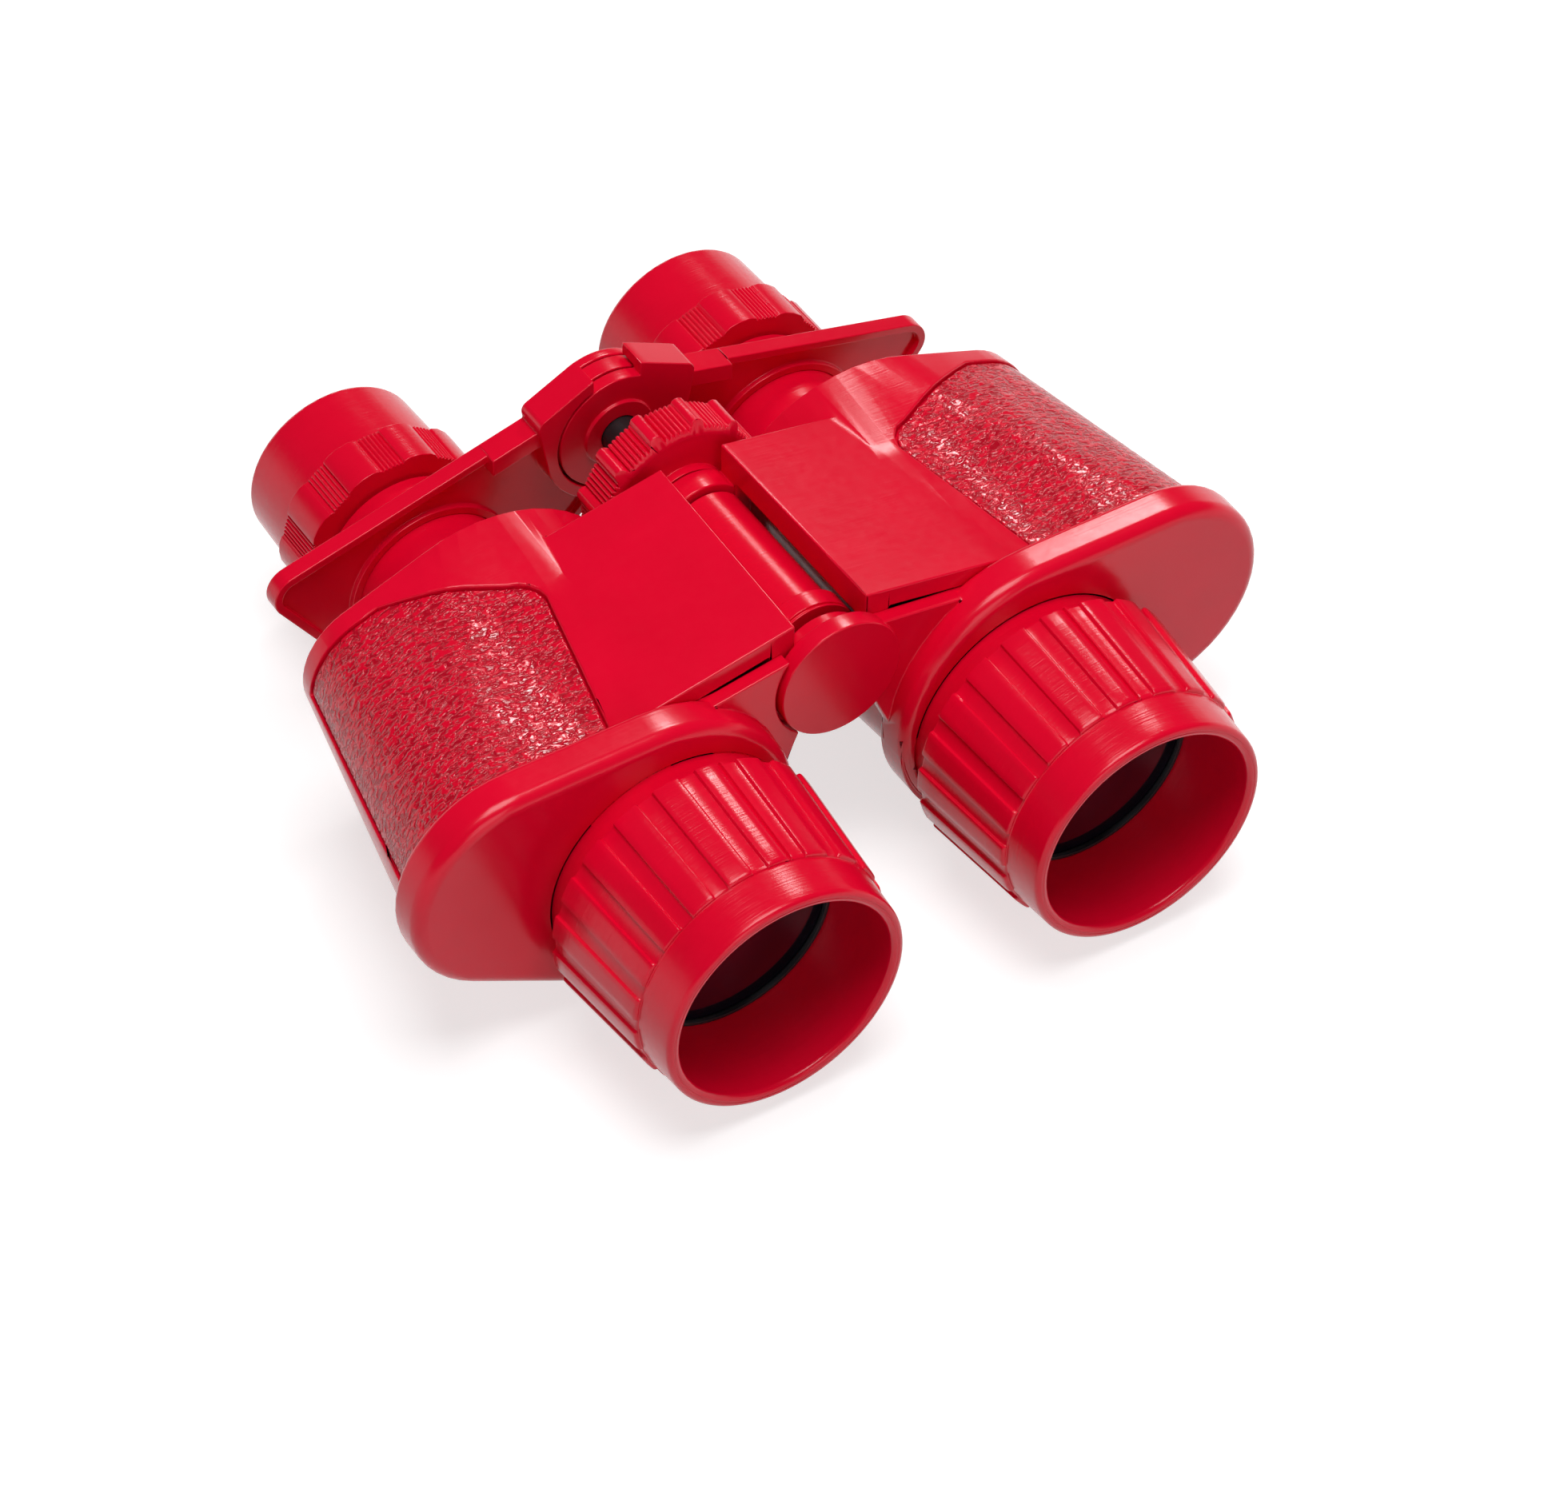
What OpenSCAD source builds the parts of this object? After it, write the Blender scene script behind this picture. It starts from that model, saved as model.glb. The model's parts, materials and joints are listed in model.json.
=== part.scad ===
// Toy binoculars: two moulded halves on a centre hinge, a focusing wheel, a sliding bridge and two eyepieces.
// The halves are drawn half folded. y = 0 is the wings' front edge, with +y towards the eyepieces,
// and z = 0 is the height of the two optical axes, until each piece is set down on its resting plane.

/* [Optics] */
// Distance between the two optical axes
eye_spacing = 64; // [60:0.5:68]
// Height of the hinge axis above the optical axes
hinge_rise = 18.7; // [17:0.1:21]
// Radius of each objective lens
objective_r = 17.2; // [15:0.1:17.4]
// Edge thickness of each objective lens
objective_edge = 2; // [1.5:0.1:3]
// Crown of each face of an objective lens
objective_crown = 1.6; // [1:0.1:2.2]
// Radius of each eye lens
eye_lens_r = 10; // [8:0.1:10.6]
// Edge thickness of each eye lens
eye_lens_edge = 1.6; // [1.2:0.1:2]

/* [Objective hoods] */
// Reach of a hood in front of the band's face
hood_reach = 32.4; // [29:0.2:40]
// Outer radius of the hood's front rim
hood_rim_r = 20.3; // [19.6:0.1:20.5]
// Radius of the hood's mouth
hood_mouth_r = 18.1; // [17.6:0.1:18.6]
// Depth of the straight mouth
hood_mouth_len = 6; // [4:0.2:8]
// Depth from the rim to the lens ring
hood_lens_depth = 15; // [12:0.2:18]
// Radius of the hood's neck in the band
hood_neck_r = 20.4; // [19.6:0.1:21]
// Length of neck that shows behind the ribs
hood_neck_show = 4.6; // [3:0.2:6]
// Length of the ribs
rib_run = 20.4; // [16:0.2:22]
// Radius over the ribs at the back
rib_back_r = 23.3; // [22.6:0.1:24]
// Radius over the ribs at the front
rib_front_r = 21.5; // [21:0.1:22]
// Depth of the valleys between the ribs
rib_depth = 0.6; // [0.4:0.1:1]
// Number of ribs round a hood
rib_count = 20; // [14:1:26]
// Turn of the left hood's ribs in degrees
left_rib_turn = -8.2; // [-9:0.1:9]
// Turn of the right hood's ribs in degrees
right_rib_turn = 0.3; // [-9:0.1:9]
// Outer radius of the smooth front ring at the ribs
hood_ring_r = 20.8; // [20.6:0.1:21]
// Rounding of the hood's lip
hood_lip_r = 0.9; // [0.4:0.1:1]

/* [Front covers] */
// Depth of the band round a front cover
band_depth = 7; // [6:0.2:9]
// Radius of the band round the barrel
barrel_lobe_r = 24.5; // [24:0.1:26]
// Radius of the band round the outer end
side_lobe_r = 18.5; // [16:0.1:20]
// Place of the outer end outward of the optical axis
side_lobe_out = 24.5; // [22:0.2:28]
// Place of the outer end above the optical axis
side_lobe_up = 8; // [6:0.2:9]
// Shift of the barrel's lobe outward of the optical axis
barrel_lobe_out = 2; // [1:0.1:3]
// Shift of the barrel's lobe above the optical axis
barrel_lobe_up = 2; // [1:0.1:3]
// Rounding of the band's front edge
band_edge_r = 2.2; // [1:0.1:3]
// Rounding of the band's back edge
band_heel_r = 1.2; // [0.6:0.1:2]
// Height of the band over the housing
band_proud = 2; // [1.4:0.1:2.6]
// Wall of the band
band_wall = 4.4; // [4.2:0.1:5]
// Thickness of the cover's face
cover_face = 2.4; // [2:0.1:3.4]
// Thickness of the hinge plate beside the band
plate_t = 2.5; // [2:0.1:3.5]
// Distance of the hinge plate's edge below the wing's top
plate_drop = 3; // [2:0.1:3.2]
// Thickness of the collar that holds a hood's neck
neck_collar_t = 1.8; // [1.4:0.1:2.4]

/* [Housings] */
// Length of a housing behind its front cover
housing_len = 46; // [42:0.5:52]
// Radius of the housing's tail round the barrel
tail_barrel_r = 25.4; // [24.6:0.1:26]
// Shift of the tail's barrel lobe outward of the optical axis
tail_barrel_out = 1.5; // [0.5:0.1:2.5]
// Radius of the housing's tail at the outer end
tail_side_r = 11.5; // [10:0.1:13]
// Place of the tail's outer end outward of the optical axis
tail_side_out = 20.8; // [19:0.2:23]
// Place of the tail's outer end above the optical axis
tail_side_up = 9.6; // [8:0.2:10.6]
// Wall of the housing
housing_wall = 2.6; // [2.4:0.1:3]
// Wall at the housing's tail
tail_wall = 3; // [2.4:0.1:4]

/* [Wings] */
// Length of a wing along the hinge
wing_len = 39.2; // [36:0.2:41]
// Height of the wing's inner edge above the hinge axis
wing_top = 11.3; // [10:0.1:12.5]
// Fall of the wing's top in degrees
wing_slope = 11; // [9:0.5:13]
// Gap between the wings at the front
gap_front = 12.4; // [11:0.2:14]
// Gap between the wings at the back
gap_back = 10.6; // [10:0.2:12]
// Thickness of the wing's top
wing_top_t = 3.4; // [3.3:0.1:4.5]
// Thickness of the wing's other walls
wing_wall = 2.2; // [1.8:0.1:3]
// Distance of the wing's lower edge from the hinge plane
wing_foot_x = 6.5; // [6:0.1:7.5]
// Distance of the wing's lower edge below the hinge axis
wing_foot_drop = 8.2; // [7:0.1:9]

/* [Grip panels] */
// Depth of the recess that holds a grip panel
grip_recess = 1.2; // [0.9:0.1:1.4]
// Depth of the panel's face below the housing
grip_sink = 0.3; // [0.1:0.1:0.5]
// Gap round a panel
grip_gap = 0.25; // [0.1:0.05:0.4]
// Panel's inner edge at the front, outward of the optical axis
grip_front_out = 5.5; // [4:0.1:7]
// Panel's inner edge at the back, outward of the optical axis
grip_back_out = -0.5; // [-2:0.1:2]
// Distance of the panel's inner back corner from the front cover
grip_len = 34; // [30:0.5:36]
// Distance of the panel's outer back edge from the front cover
grip_side_len = 42.5; // [38:0.5:43]
// Radius of the panel's inner back corner
grip_corner_r = 5; // [3:0.5:8]
// Height of the panel's lower edge above the optical axes
grip_low = 10; // [7:0.5:12]

/* [Hinge] */
// Radius of the hinge axle
axle_r = 2.6; // [2.2:0.1:3]
// Radius of the hinge tube
tube_r = 6.8; // [6.4:0.1:7.2]
// Radius of the hinge collars
collar_r = 7.8; // [7.4:0.1:8.2]
// Length of each hinge collar
collar_len = 4; // [3:0.1:4.5]
// Radius of the hinge's front disc
disc_r = 10.4; // [9.6:0.1:11]
// Height of the disc over the hinge plate
disc_proud = 1; // [0.6:0.1:1.6]
// Length of the lug behind the disc
lug_len = 3; // [2:0.1:4]
// Length of axle that shows behind the lug
axle_show = 1.5; // [1:0.1:2]

/* [Focusing] */
// Outer radius of the focusing wheel
wheel_r = 15; // [13.5:0.1:16]
// Width of the focusing wheel
wheel_w = 7.1; // [5.5:0.1:8]
// Turn of the focusing wheel's lobes in degrees
wheel_turn = 2; // [-15:1:15]
// Number of lobes on the focusing wheel
wheel_lobes = 12; // [9:1:14]
// Height of the wheel's lobes over the grooves
wheel_lobe_h = 1; // [0.6:0.1:1.2]
// Bevel of the wheel's front edge
wheel_bevel = 1.4; // [0.8:0.1:2]
// Length of the wheel's front boss
wheel_boss_len = 1.5; // [1:0.1:2.5]
// Radius of the focusing screw
screw_r = 3.2; // [2.8:0.1:3.6]
// Travel of the bridge each way
focus_travel = 2.5; // [2:0.1:3]

/* [Bridge] */
// Distance from the wheel's back to the bridge's hub
hub_gap = 12; // [10:0.2:14]
// Radius of the hub rings
hub_r = 10.4; // [9.8:0.1:11]
// Thickness of the right arm's ring
hub_ring_t = 2.3; // [2:0.1:3]
// Gap between the two rings
hub_ring_gap = 0.4; // [0.3:0.05:0.6]
// Thickness of the root that wraps the other arm's ring
root_t = 2; // [1.6:0.1:2.4]
// Half of the gap between the two roots
root_gap = 4.2; // [3.8:0.1:5]
// Reach of a root from the hinge plane
root_reach = 12.4; // [11.5:0.1:14]
// Height of the root's end above the hinge axis
root_end_up = 6.4; // [5.5:0.1:7]
// Radius of the root's end
root_end_r = 1.6; // [1:0.1:2]
// Radius of the sleeve that the left arm turns on
hub_sleeve_r = 6; // [5.4:0.1:7]
// Thickness of an arm
arm_t = 3; // [2.6:0.1:3.6]
// Radius of the arm round its eyepiece
arm_eye_r = 18.2; // [17:0.1:18.6]
// Half height of the arm at the hinge
arm_root_r = 8.3; // [7.6:0.1:9]
// Radius of the arm's tip
arm_tip_r = 4; // [3:0.1:5]
// Place of the arm's tip outward of the optical axis
arm_tip_out = 23.5; // [20:0.2:25]
// Place of the arm's tip above the optical axis
arm_tip_up = 8.8; // [7:0.2:10]
// Angle between an arm's lower end and the hinge plane in degrees
arm_part_angle = 14; // [13:1:20]
// Width of the raised rim of an arm
arm_rim = 1.4; // [1:0.1:2]
// Depth of the panel inside the arm's rim
arm_panel_depth = 1; // [0.6:0.1:1.4]
// Depth of the stop bar in front of an arm's top rim
bar_depth = 1.6; // [1:0.1:2]
// Height of the stop bar
bar_h = 3.2; // [2.4:0.1:4]
// Thickness of the cap behind the hub
cap_len = 1.8; // [1.4:0.1:2.4]

/* [Eyepieces] */
// Outer radius of the eyepiece tube
eye_tube_r = 13; // [12.4:0.1:13.6]
// Wall of the eyepiece tube
eye_tube_wall = 1.8; // [1.2:0.1:2.2]
// Length of tube between the bridge and the grip ring
eye_neck_len = 7.8; // [6:0.2:10]
// Length of the tube in front of the bridge
eye_tube_front = 26; // [25:0.5:28]
// Outer radius of the grip ring
eye_ring_r = 16.9; // [16.4:0.1:18]
// Height of the grip ring's lobes over the grooves
eye_lobe_h = 0.7; // [0.5:0.1:1]
// Turn of the right grip ring's lobes in degrees
right_ring_turn = -15; // [-18:1:18]
// Turn of the left grip ring's lobes in degrees
left_ring_turn = -2; // [-18:1:18]
// Length of the grip ring
eye_ring_len = 8.4; // [7:0.2:10]
// Number of lobes on the grip ring
eye_ring_lobes = 10; // [8:1:12]
// Outer radius of the cup at the ring
cup_front_r = 15.4; // [15:0.1:15.8]
// Outer radius of the cup at the rim
cup_back_r = 15; // [14.4:0.1:15.6]
// Length of the cup
cup_len = 13; // [10:0.2:16]
// Wall of the cup at the rim
cup_wall = 2; // [1.4:0.1:2.4]
// Thickness of the cup's floor
cup_floor = 3.4; // [3:0.1:4.5]
// Rounding of the cup's rim
cup_lip_r = 0.8; // [0.4:0.1:0.9]
// Length of the sleeve that guides an eyepiece tube
guide_len = 12; // [9:0.2:14]
// Wall of the sleeve that guides an eyepiece tube
guide_wall = 2.2; // [1.6:0.1:2.8]

/* [Hidden] */
// Radial running clearance of shafts and slides
run_clear = 0.06;
// Radial clearance of pieces that are pushed together
seat_clear = 0.03;
// Free space between pieces that move past each other
pass_clear = 0.5;
// Overrun of every cut
cut = 1;
// Thin slice that carries a section of a lofted form
slice_t = 0.02;
// Distance that the hinge's rear lug stands out behind the wings
rear_lug_past = 0.2;
// Gap between the left arm's ring and the cap
cap_gap = 0.3;
// Wall of the cap behind the end of the focusing screw
cap_wall = 0.8;
// Wall of the black inner barrel
barrel_wall = 1.2;
// Free space between the inner barrel and the housing
barrel_clear = 0.3;
// Width of the lip that the objective lens rests on
lens_lip = 0.7;
// Thickness of the ring that holds the objective lens
lens_ring_t = 1.2;
// Height of each step of the ring round an eyepiece at the housing's tail
tail_step_h = 1.4;
// Width of each step of the ring round an eyepiece at the housing's tail
tail_step_w = 2.4;
// Height of the round boss on the hub's face
hub_boss_h = 0.6;
// Depth and width of the grooves on a hinge collar
collar_groove = 0.4;

// Facets of round shapes, and of round shapes inside a hull
$fn = 72;
hull_fn = 48;
// Shares of the ribs' pitch that a rib's top and a valley's floor take
rib_top_share = 0.58;
rib_valley_share = 0.36;
// Angle at which the barrel meets the wing's foot
wing_foot_angle = 195;
// Grooves in one group of a knurled rim, and the share of the pitch that a group takes
groove_count = 6;
wheel_groove_share = 0.7;
ring_groove_share = 0.42;
// Share of a lobe's height that the grooves are cut to, and share of their pitch that stands
groove_depth_share = 0.55;
groove_land_share = 0.45;
// Shares of a lobe's width and height along its rounded top
lobe_run_shares = [0, 0.2, 0.5, 0.8, 1];
lobe_rise_shares = [0.3, 0.85, 1, 0.85, 0.3];
// Shares of the arm's top edge between which the stop bar lies
bar_shares = [0.16, 0.36];
// Share of the barrel's radius at which the wing's sides end inside the housing
wing_root_share = 0.9;

red = [0.86, 0.01, 0.08];
grip_red = [0.74, 0.01, 0.07];
black = [0.03, 0.03, 0.035];
lens_tint = [0.35, 0.4, 0.5, 0.5];

// Optical axis, hinge axis and lobe centres as [x, z], on the right half
eye_x = eye_spacing / 2;
eye_at = [eye_x, 0];
hinge_at = [0, hinge_rise];
barrel_at = eye_at + [barrel_lobe_out, barrel_lobe_up];
side_at = eye_at + [side_lobe_out, side_lobe_up];
rest_drop = rib_back_r;
tail_at = eye_at + [tail_barrel_out, tail_barrel_r - rest_drop];
tail_end_at = eye_at + [tail_side_out, tail_side_up];
tip_at = eye_at + [arm_tip_out, arm_tip_up];

// Stations along y
face_y = -band_depth;
rim_y = face_y - hood_reach;
rib_back_y = face_y - hood_neck_show;
rib_front_y = rib_back_y - rib_run;
lens_ring_y = rim_y + hood_lens_depth;
objective_y = lens_ring_y + lens_ring_t;
disc_y = -plate_t - disc_proud;
lug_back_y = lug_len;
tube_front_y = lug_back_y + axle_show;
collar_back_y = tube_front_y + collar_len;
groove_y = tube_front_y + collar_groove;
rear_lug_back_y = wing_len + rear_lug_past;
rear_lug_y = rear_lug_back_y - collar_len;
tube_back_y = rear_lug_y - pass_clear;
wheel_boss_y = rear_lug_back_y + pass_clear;
wheel_y = wheel_boss_y + wheel_boss_len;
wheel_back_y = wheel_y + wheel_w;
hub_y = wheel_back_y + hub_gap;
hub_mid_y = hub_y + hub_ring_t;
arm_y = hub_mid_y + hub_ring_gap;
arm_back_y = arm_y + arm_t;
cap_y = arm_back_y + cap_gap;
cap_back_y = cap_y + cap_len;
screw_end_y = cap_back_y - cap_wall - focus_travel - pass_clear / 2;
eye_tube_y = arm_back_y - eye_tube_front;
eye_ring_y = arm_back_y + eye_neck_len;
cup_y = eye_ring_y + eye_ring_len;
cup_back_y = cup_y + cup_len;
cup_floor_y = cup_y + cup_floor;
spigot_r = eye_tube_r - seat_clear - cup_wall / 2;
spigot_back_y = cup_y - pass_clear;
barrel_flange_y = face_y + band_depth / 2;
barrel_back_y = housing_len - guide_len - focus_travel - cut;
mid_y = (rim_y + cup_back_y) / 2;

// Radii that follow from a fit
lens_seat_r = objective_r + seat_clear;
lug_bore_r = axle_r + seat_clear;
hinge_bore_r = axle_r + run_clear;
hinge_clear_r = collar_r + pass_clear;
disc_clear_r = disc_r + pass_clear;
eye_bore_r = eye_tube_r + run_clear;
barrel_r = lens_seat_r - lens_lip;
barrel_back_r = eye_tube_r - eye_tube_wall;
hub_pass_r = hub_r + hub_ring_gap;
wheel_room_r = wheel_r + pass_clear;
root_r = hub_pass_r + root_t;
housing_barrel_r = barrel_lobe_r - band_proud;
housing_side_r = side_lobe_r - band_proud;
wing_top_z = hinge_rise + wing_top;
foot_z = hinge_rise - wing_foot_drop;
cavity_x = hinge_clear_r + wing_wall;

// Direction of an angle in the x-z plane
function turn(a) = [cos(a), sin(a)];

// Points of an arc, both ends included
function arc_points(at, r, from, to, steps) =
    [for (i = [0:steps]) at + r * turn(from + (to - from) * i / steps)];

// Corners of the four-sided shape between the outer tangents of two circles
function tangent_corners(a, ra, b, rb) =
    let (d = b - a, base = atan2(d.y, d.x), spread = acos((ra - rb) / norm(d)))
    [a + ra * turn(base + spread), b + rb * turn(base + spread),
     b + rb * turn(base - spread), a + ra * turn(base - spread)];

// Height of the wing's top at a distance from the hinge plane
function wing_z(x) = wing_top_z - (x - gap_back / 2) * tan(wing_slope);

// Points of a knurled rim: rounded lobes with groups of grooves between them, one group turned from the top
function knurl_points(r, lobes, h, share, turned_by) =
    let (pitch = 360 / lobes, groove_pitch = pitch * share / groove_count, low = r - h)
    [for (i = [0:lobes - 1])
        let (start = 90 + turned_by + (i - share / 2) * pitch, lobe_start = start + pitch * share)
        each concat(
            [for (k = [0:groove_count - 1])
                let (a = start + k * groove_pitch)
                each [low * turn(a), low * turn(a + groove_pitch * groove_land_share),
                    (low - h * groove_depth_share) * turn(a + groove_pitch * (1 + groove_land_share) / 2)]],
            [for (k = [0:len(lobe_run_shares) - 1])
                (low + h * lobe_rise_shares[k])
                    * turn(lobe_start + pitch * (1 - share) * lobe_run_shares[k])])];

// Points of a ribbed rim: flat ribs with steep walls, one rib turned from the top
function rib_points(r, turned_by) =
    let (pitch = 360 / rib_count, top = pitch * rib_top_share / 2, floor = pitch * rib_valley_share / 2)
    [for (i = [0:rib_count - 1])
        let (rib = 90 + turned_by + i * pitch, valley = rib + pitch / 2)
        each [r * turn(rib - top), r * turn(rib), r * turn(rib + top),
            (r - rib_depth) * turn(valley - floor), (r - rib_depth) * turn(valley + floor)]];

// Sets a piece down with the resting plane at z = 0 and the part centred along y
module placed()
    translate([0, -mid_y, rest_drop])
        children();

// Mirrors a right-hand piece to the left half
module on_left()
    mirror([1, 0, 0])
        children();

// Turns an outline in the x-z plane into a solid from y0 to y1
module along_y(y0, y1)
    translate([0, y1, 0])
        rotate([90, 0, 0])
            linear_extrude(y1 - y0)
                children();

// Round rod along y from y0 to y1
module rod(r, y0, y1, at)
    translate([at.x, y1, at.y])
        rotate([90, 0, 0])
            cylinder(r = r, h = y1 - y0);

// Tapered rod along y, with its radius at y0 and at y1
module taper(r0, r1, y0, y1, at)
    translate([at.x, y1, at.y])
        rotate([90, 0, 0])
            cylinder(r1 = r1, r2 = r0, h = y1 - y0);

// Turned piece along y, from points [radius, y]
module turned(points, at)
    translate([at.x, 0, at.y])
        rotate([90, 0, 0])
            rotate_extrude()
                polygon([for (p = points) [p.x, -p.y]]);

// Outline of two round lobes and the straight flanks between them
module lobes(a, ra, b, rb) {
    translate(a)
        circle(ra);
    translate(b)
        circle(rb);
    polygon(tangent_corners(a, ra, b, rb));
}

// Loft from the section behind the cover to the tail's section, set in by an inset
module housing_form(inset, y0, y1) {
    hull() {
        along_y(y0, y0 + slice_t)
            lobe_pair(barrel_at, housing_barrel_r - inset, side_at, housing_side_r - inset);
        along_y(y1 - slice_t, y1)
            lobe_pair(tail_at, tail_barrel_r - inset, tail_end_at, tail_side_r - inset);
    }
}

// Two round lobes for a hull to wrap
module lobe_pair(a, ra, b, rb) {
    translate(a)
        circle(ra, $fn = hull_fn);
    translate(b)
        circle(rb, $fn = hull_fn);
}

// Wing's section: sloping top, side that ends inside the barrel, and foot
module wing_section() {
    polygon([[0, wing_z(0)], [barrel_at.x, wing_z(barrel_at.x)], barrel_at,
        barrel_at + wing_root_share * housing_barrel_r * turn(wing_foot_angle),
        [wing_foot_x, foot_z], [0, foot_z]]);
}

// Hollow of the wing
module wing_hollow_section() {
    polygon([[cavity_x, wing_z(cavity_x) - wing_top_t], [barrel_at.x, wing_z(barrel_at.x) - wing_top_t],
        barrel_at, barrel_at - [wing_root_share * (housing_barrel_r - housing_wall), 0],
        [cavity_x, foot_z]]);
}

// Space between the wings, a little wider at the front
module wing_gap_cut(y0, y1) {
    lean = (gap_front - gap_back) / 2 / wing_len;
    half_0 = gap_front / 2 - lean * y0;
    half_1 = gap_front / 2 - lean * y1;
    translate([0, 0, foot_z - cut])
        linear_extrude(wing_top + wing_foot_drop + wing_top)
            polygon([[-half_0, y0], [half_0, y0], [half_1, y1], [-half_1, y1]]);
}

// Plan of a grip panel, set in by an inset
module grip_plan(inset) {
    back_x = eye_x + grip_back_out + inset;
    corner_at = [back_x + grip_corner_r, grip_len - inset - grip_corner_r];
    far_x = side_at.x + side_lobe_r + cut;
    polygon(concat([[eye_x + grip_front_out + inset, inset]],
        [for (p = arc_points([0, 0], grip_corner_r, 180, 105, 8)) corner_at + p],
        [[tail_end_at.x, grip_side_len - inset], [far_x, grip_side_len - inset], [far_x, inset]]));
}

// Space of a grip panel over the housing's core
module grip_space(inset) {
    translate([0, 0, grip_low + inset])
        linear_extrude(tail_barrel_r + barrel_lobe_up)
            grip_plan(inset);
}

// Housing and wing of the right half before the hinge's own cuts
module half_shell() {
    difference() {
        union() {
            difference() {
                union() {
                    housing_form(0, 0, housing_len);
                    along_y(0, wing_len)
                        wing_section();
                }
                difference() {
                    housing_form(housing_wall, -cut, housing_len - tail_wall);
                    rod(wheel_room_r + wing_wall, wing_len - wing_wall, housing_len, hinge_at);
                }
                along_y(-cut, wing_len - wing_wall)
                    wing_hollow_section();
                taper(barrel_r + barrel_clear, barrel_back_r + barrel_clear, barrel_flange_y, barrel_back_y,
                    eye_at);
                difference() {
                    grip_space(0);
                    housing_form(grip_recess, -cut, housing_len);
                }
            }
            rod(eye_bore_r + guide_wall, housing_len - guide_len, housing_len, eye_at);
            rod(eye_bore_r + 2 * tail_step_w, housing_len - tail_wall, housing_len + tail_step_h, eye_at);
            rod(eye_bore_r + tail_step_w, housing_len - tail_wall, housing_len + 2 * tail_step_h, eye_at);
        }
        rod(eye_bore_r, housing_len - guide_len - cut, housing_len + 2 * tail_step_h + cut, eye_at);
        rod(wheel_room_r, wing_len, housing_len + cut, hinge_at);
        wing_gap_cut(-cut, wing_len + cut);
    }
}

// Front cover of the right half without its hinge end
module half_cover() {
    difference() {
        union() {
            difference() {
                hull() {
                    band_lobe(barrel_at, barrel_lobe_r);
                    band_lobe(side_at, side_lobe_r);
                }
                hull()
                    along_y(face_y + cover_face, cut)
                        lobe_pair(barrel_at, barrel_lobe_r - band_wall, side_at, side_lobe_r - band_wall);
            }
            rod(hood_neck_r + seat_clear + neck_collar_t, face_y + cover_face / 2, 0, eye_at);
            along_y(-plate_t, 0)
                plate_section();
        }
        rod(hood_neck_r + seat_clear, face_y - cut, cut, eye_at);
    }
}

// One end of the band, with both edges rounded
module band_lobe(at, r) {
    front = arc_points([r - band_edge_r, -face_y - band_edge_r], band_edge_r, 0, 90, 6);
    back = arc_points([r - band_heel_r, band_heel_r], band_heel_r, -90, 0, 4);
    turned([for (p = concat([[0, 0]], back, front, [[0, -face_y]])) [p.x, -p.y]], at, $fn = hull_fn);
}

// Hinge plate beside the band, under the wing's top edge
module plate_section() {
    difference() {
        polygon([[0, wing_z(gap_front / 2) - plate_drop],
            [barrel_at.x, wing_z(barrel_at.x) - plate_drop], barrel_at,
            barrel_at + wing_root_share * barrel_lobe_r * turn(wing_foot_angle),
            [wing_foot_x, foot_z], [0, foot_z + plate_drop]]);
        translate(barrel_at)
            circle(barrel_lobe_r - band_wall);
    }
}

module right_shell()
    color(red)
        difference() {
            union() {
                difference() {
                    half_shell();
                    rod(hinge_clear_r, -cut, rear_lug_y - pass_clear, hinge_at);
                }
                rod(collar_r, rear_lug_y, rear_lug_back_y, hinge_at);
            }
            rod(lug_bore_r, rear_lug_y - cut, rear_lug_back_y + cut, hinge_at);
        }

module left_shell()
    color(red)
        on_left()
            difference() {
                half_shell();
                rod(hinge_clear_r, -cut, tube_front_y, hinge_at);
                rod(collar_r + seat_clear, tube_front_y - cut, collar_back_y, hinge_at);
                rod(tube_r + seat_clear, tube_front_y, tube_back_y + pass_clear, hinge_at);
                rod(hinge_clear_r, tube_back_y, wing_len + cut, hinge_at);
            }

module right_cover()
    color(red)
        difference() {
            union() {
                half_cover();
                rod(disc_r, disc_y, -pass_clear, hinge_at);
                rod(collar_r, -plate_t, lug_back_y, hinge_at);
            }
            rod(lug_bore_r, -plate_t, lug_back_y + cut, hinge_at);
        }

module left_cover()
    color(red)
        on_left()
            difference() {
                half_cover();
                rod(disc_clear_r, -plate_t - cut, cut, hinge_at);
            }

// Grip panel that lies in the housing's recess
module grip_panel() {
    difference() {
        intersection() {
            grip_space(grip_gap);
            housing_form(grip_sink, 0, housing_len);
        }
        housing_form(grip_recess, -cut, housing_len);
    }
}

module right_grip()
    color(grip_red)
        grip_panel();

module left_grip()
    color(grip_red)
        on_left()
            grip_panel();

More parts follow.
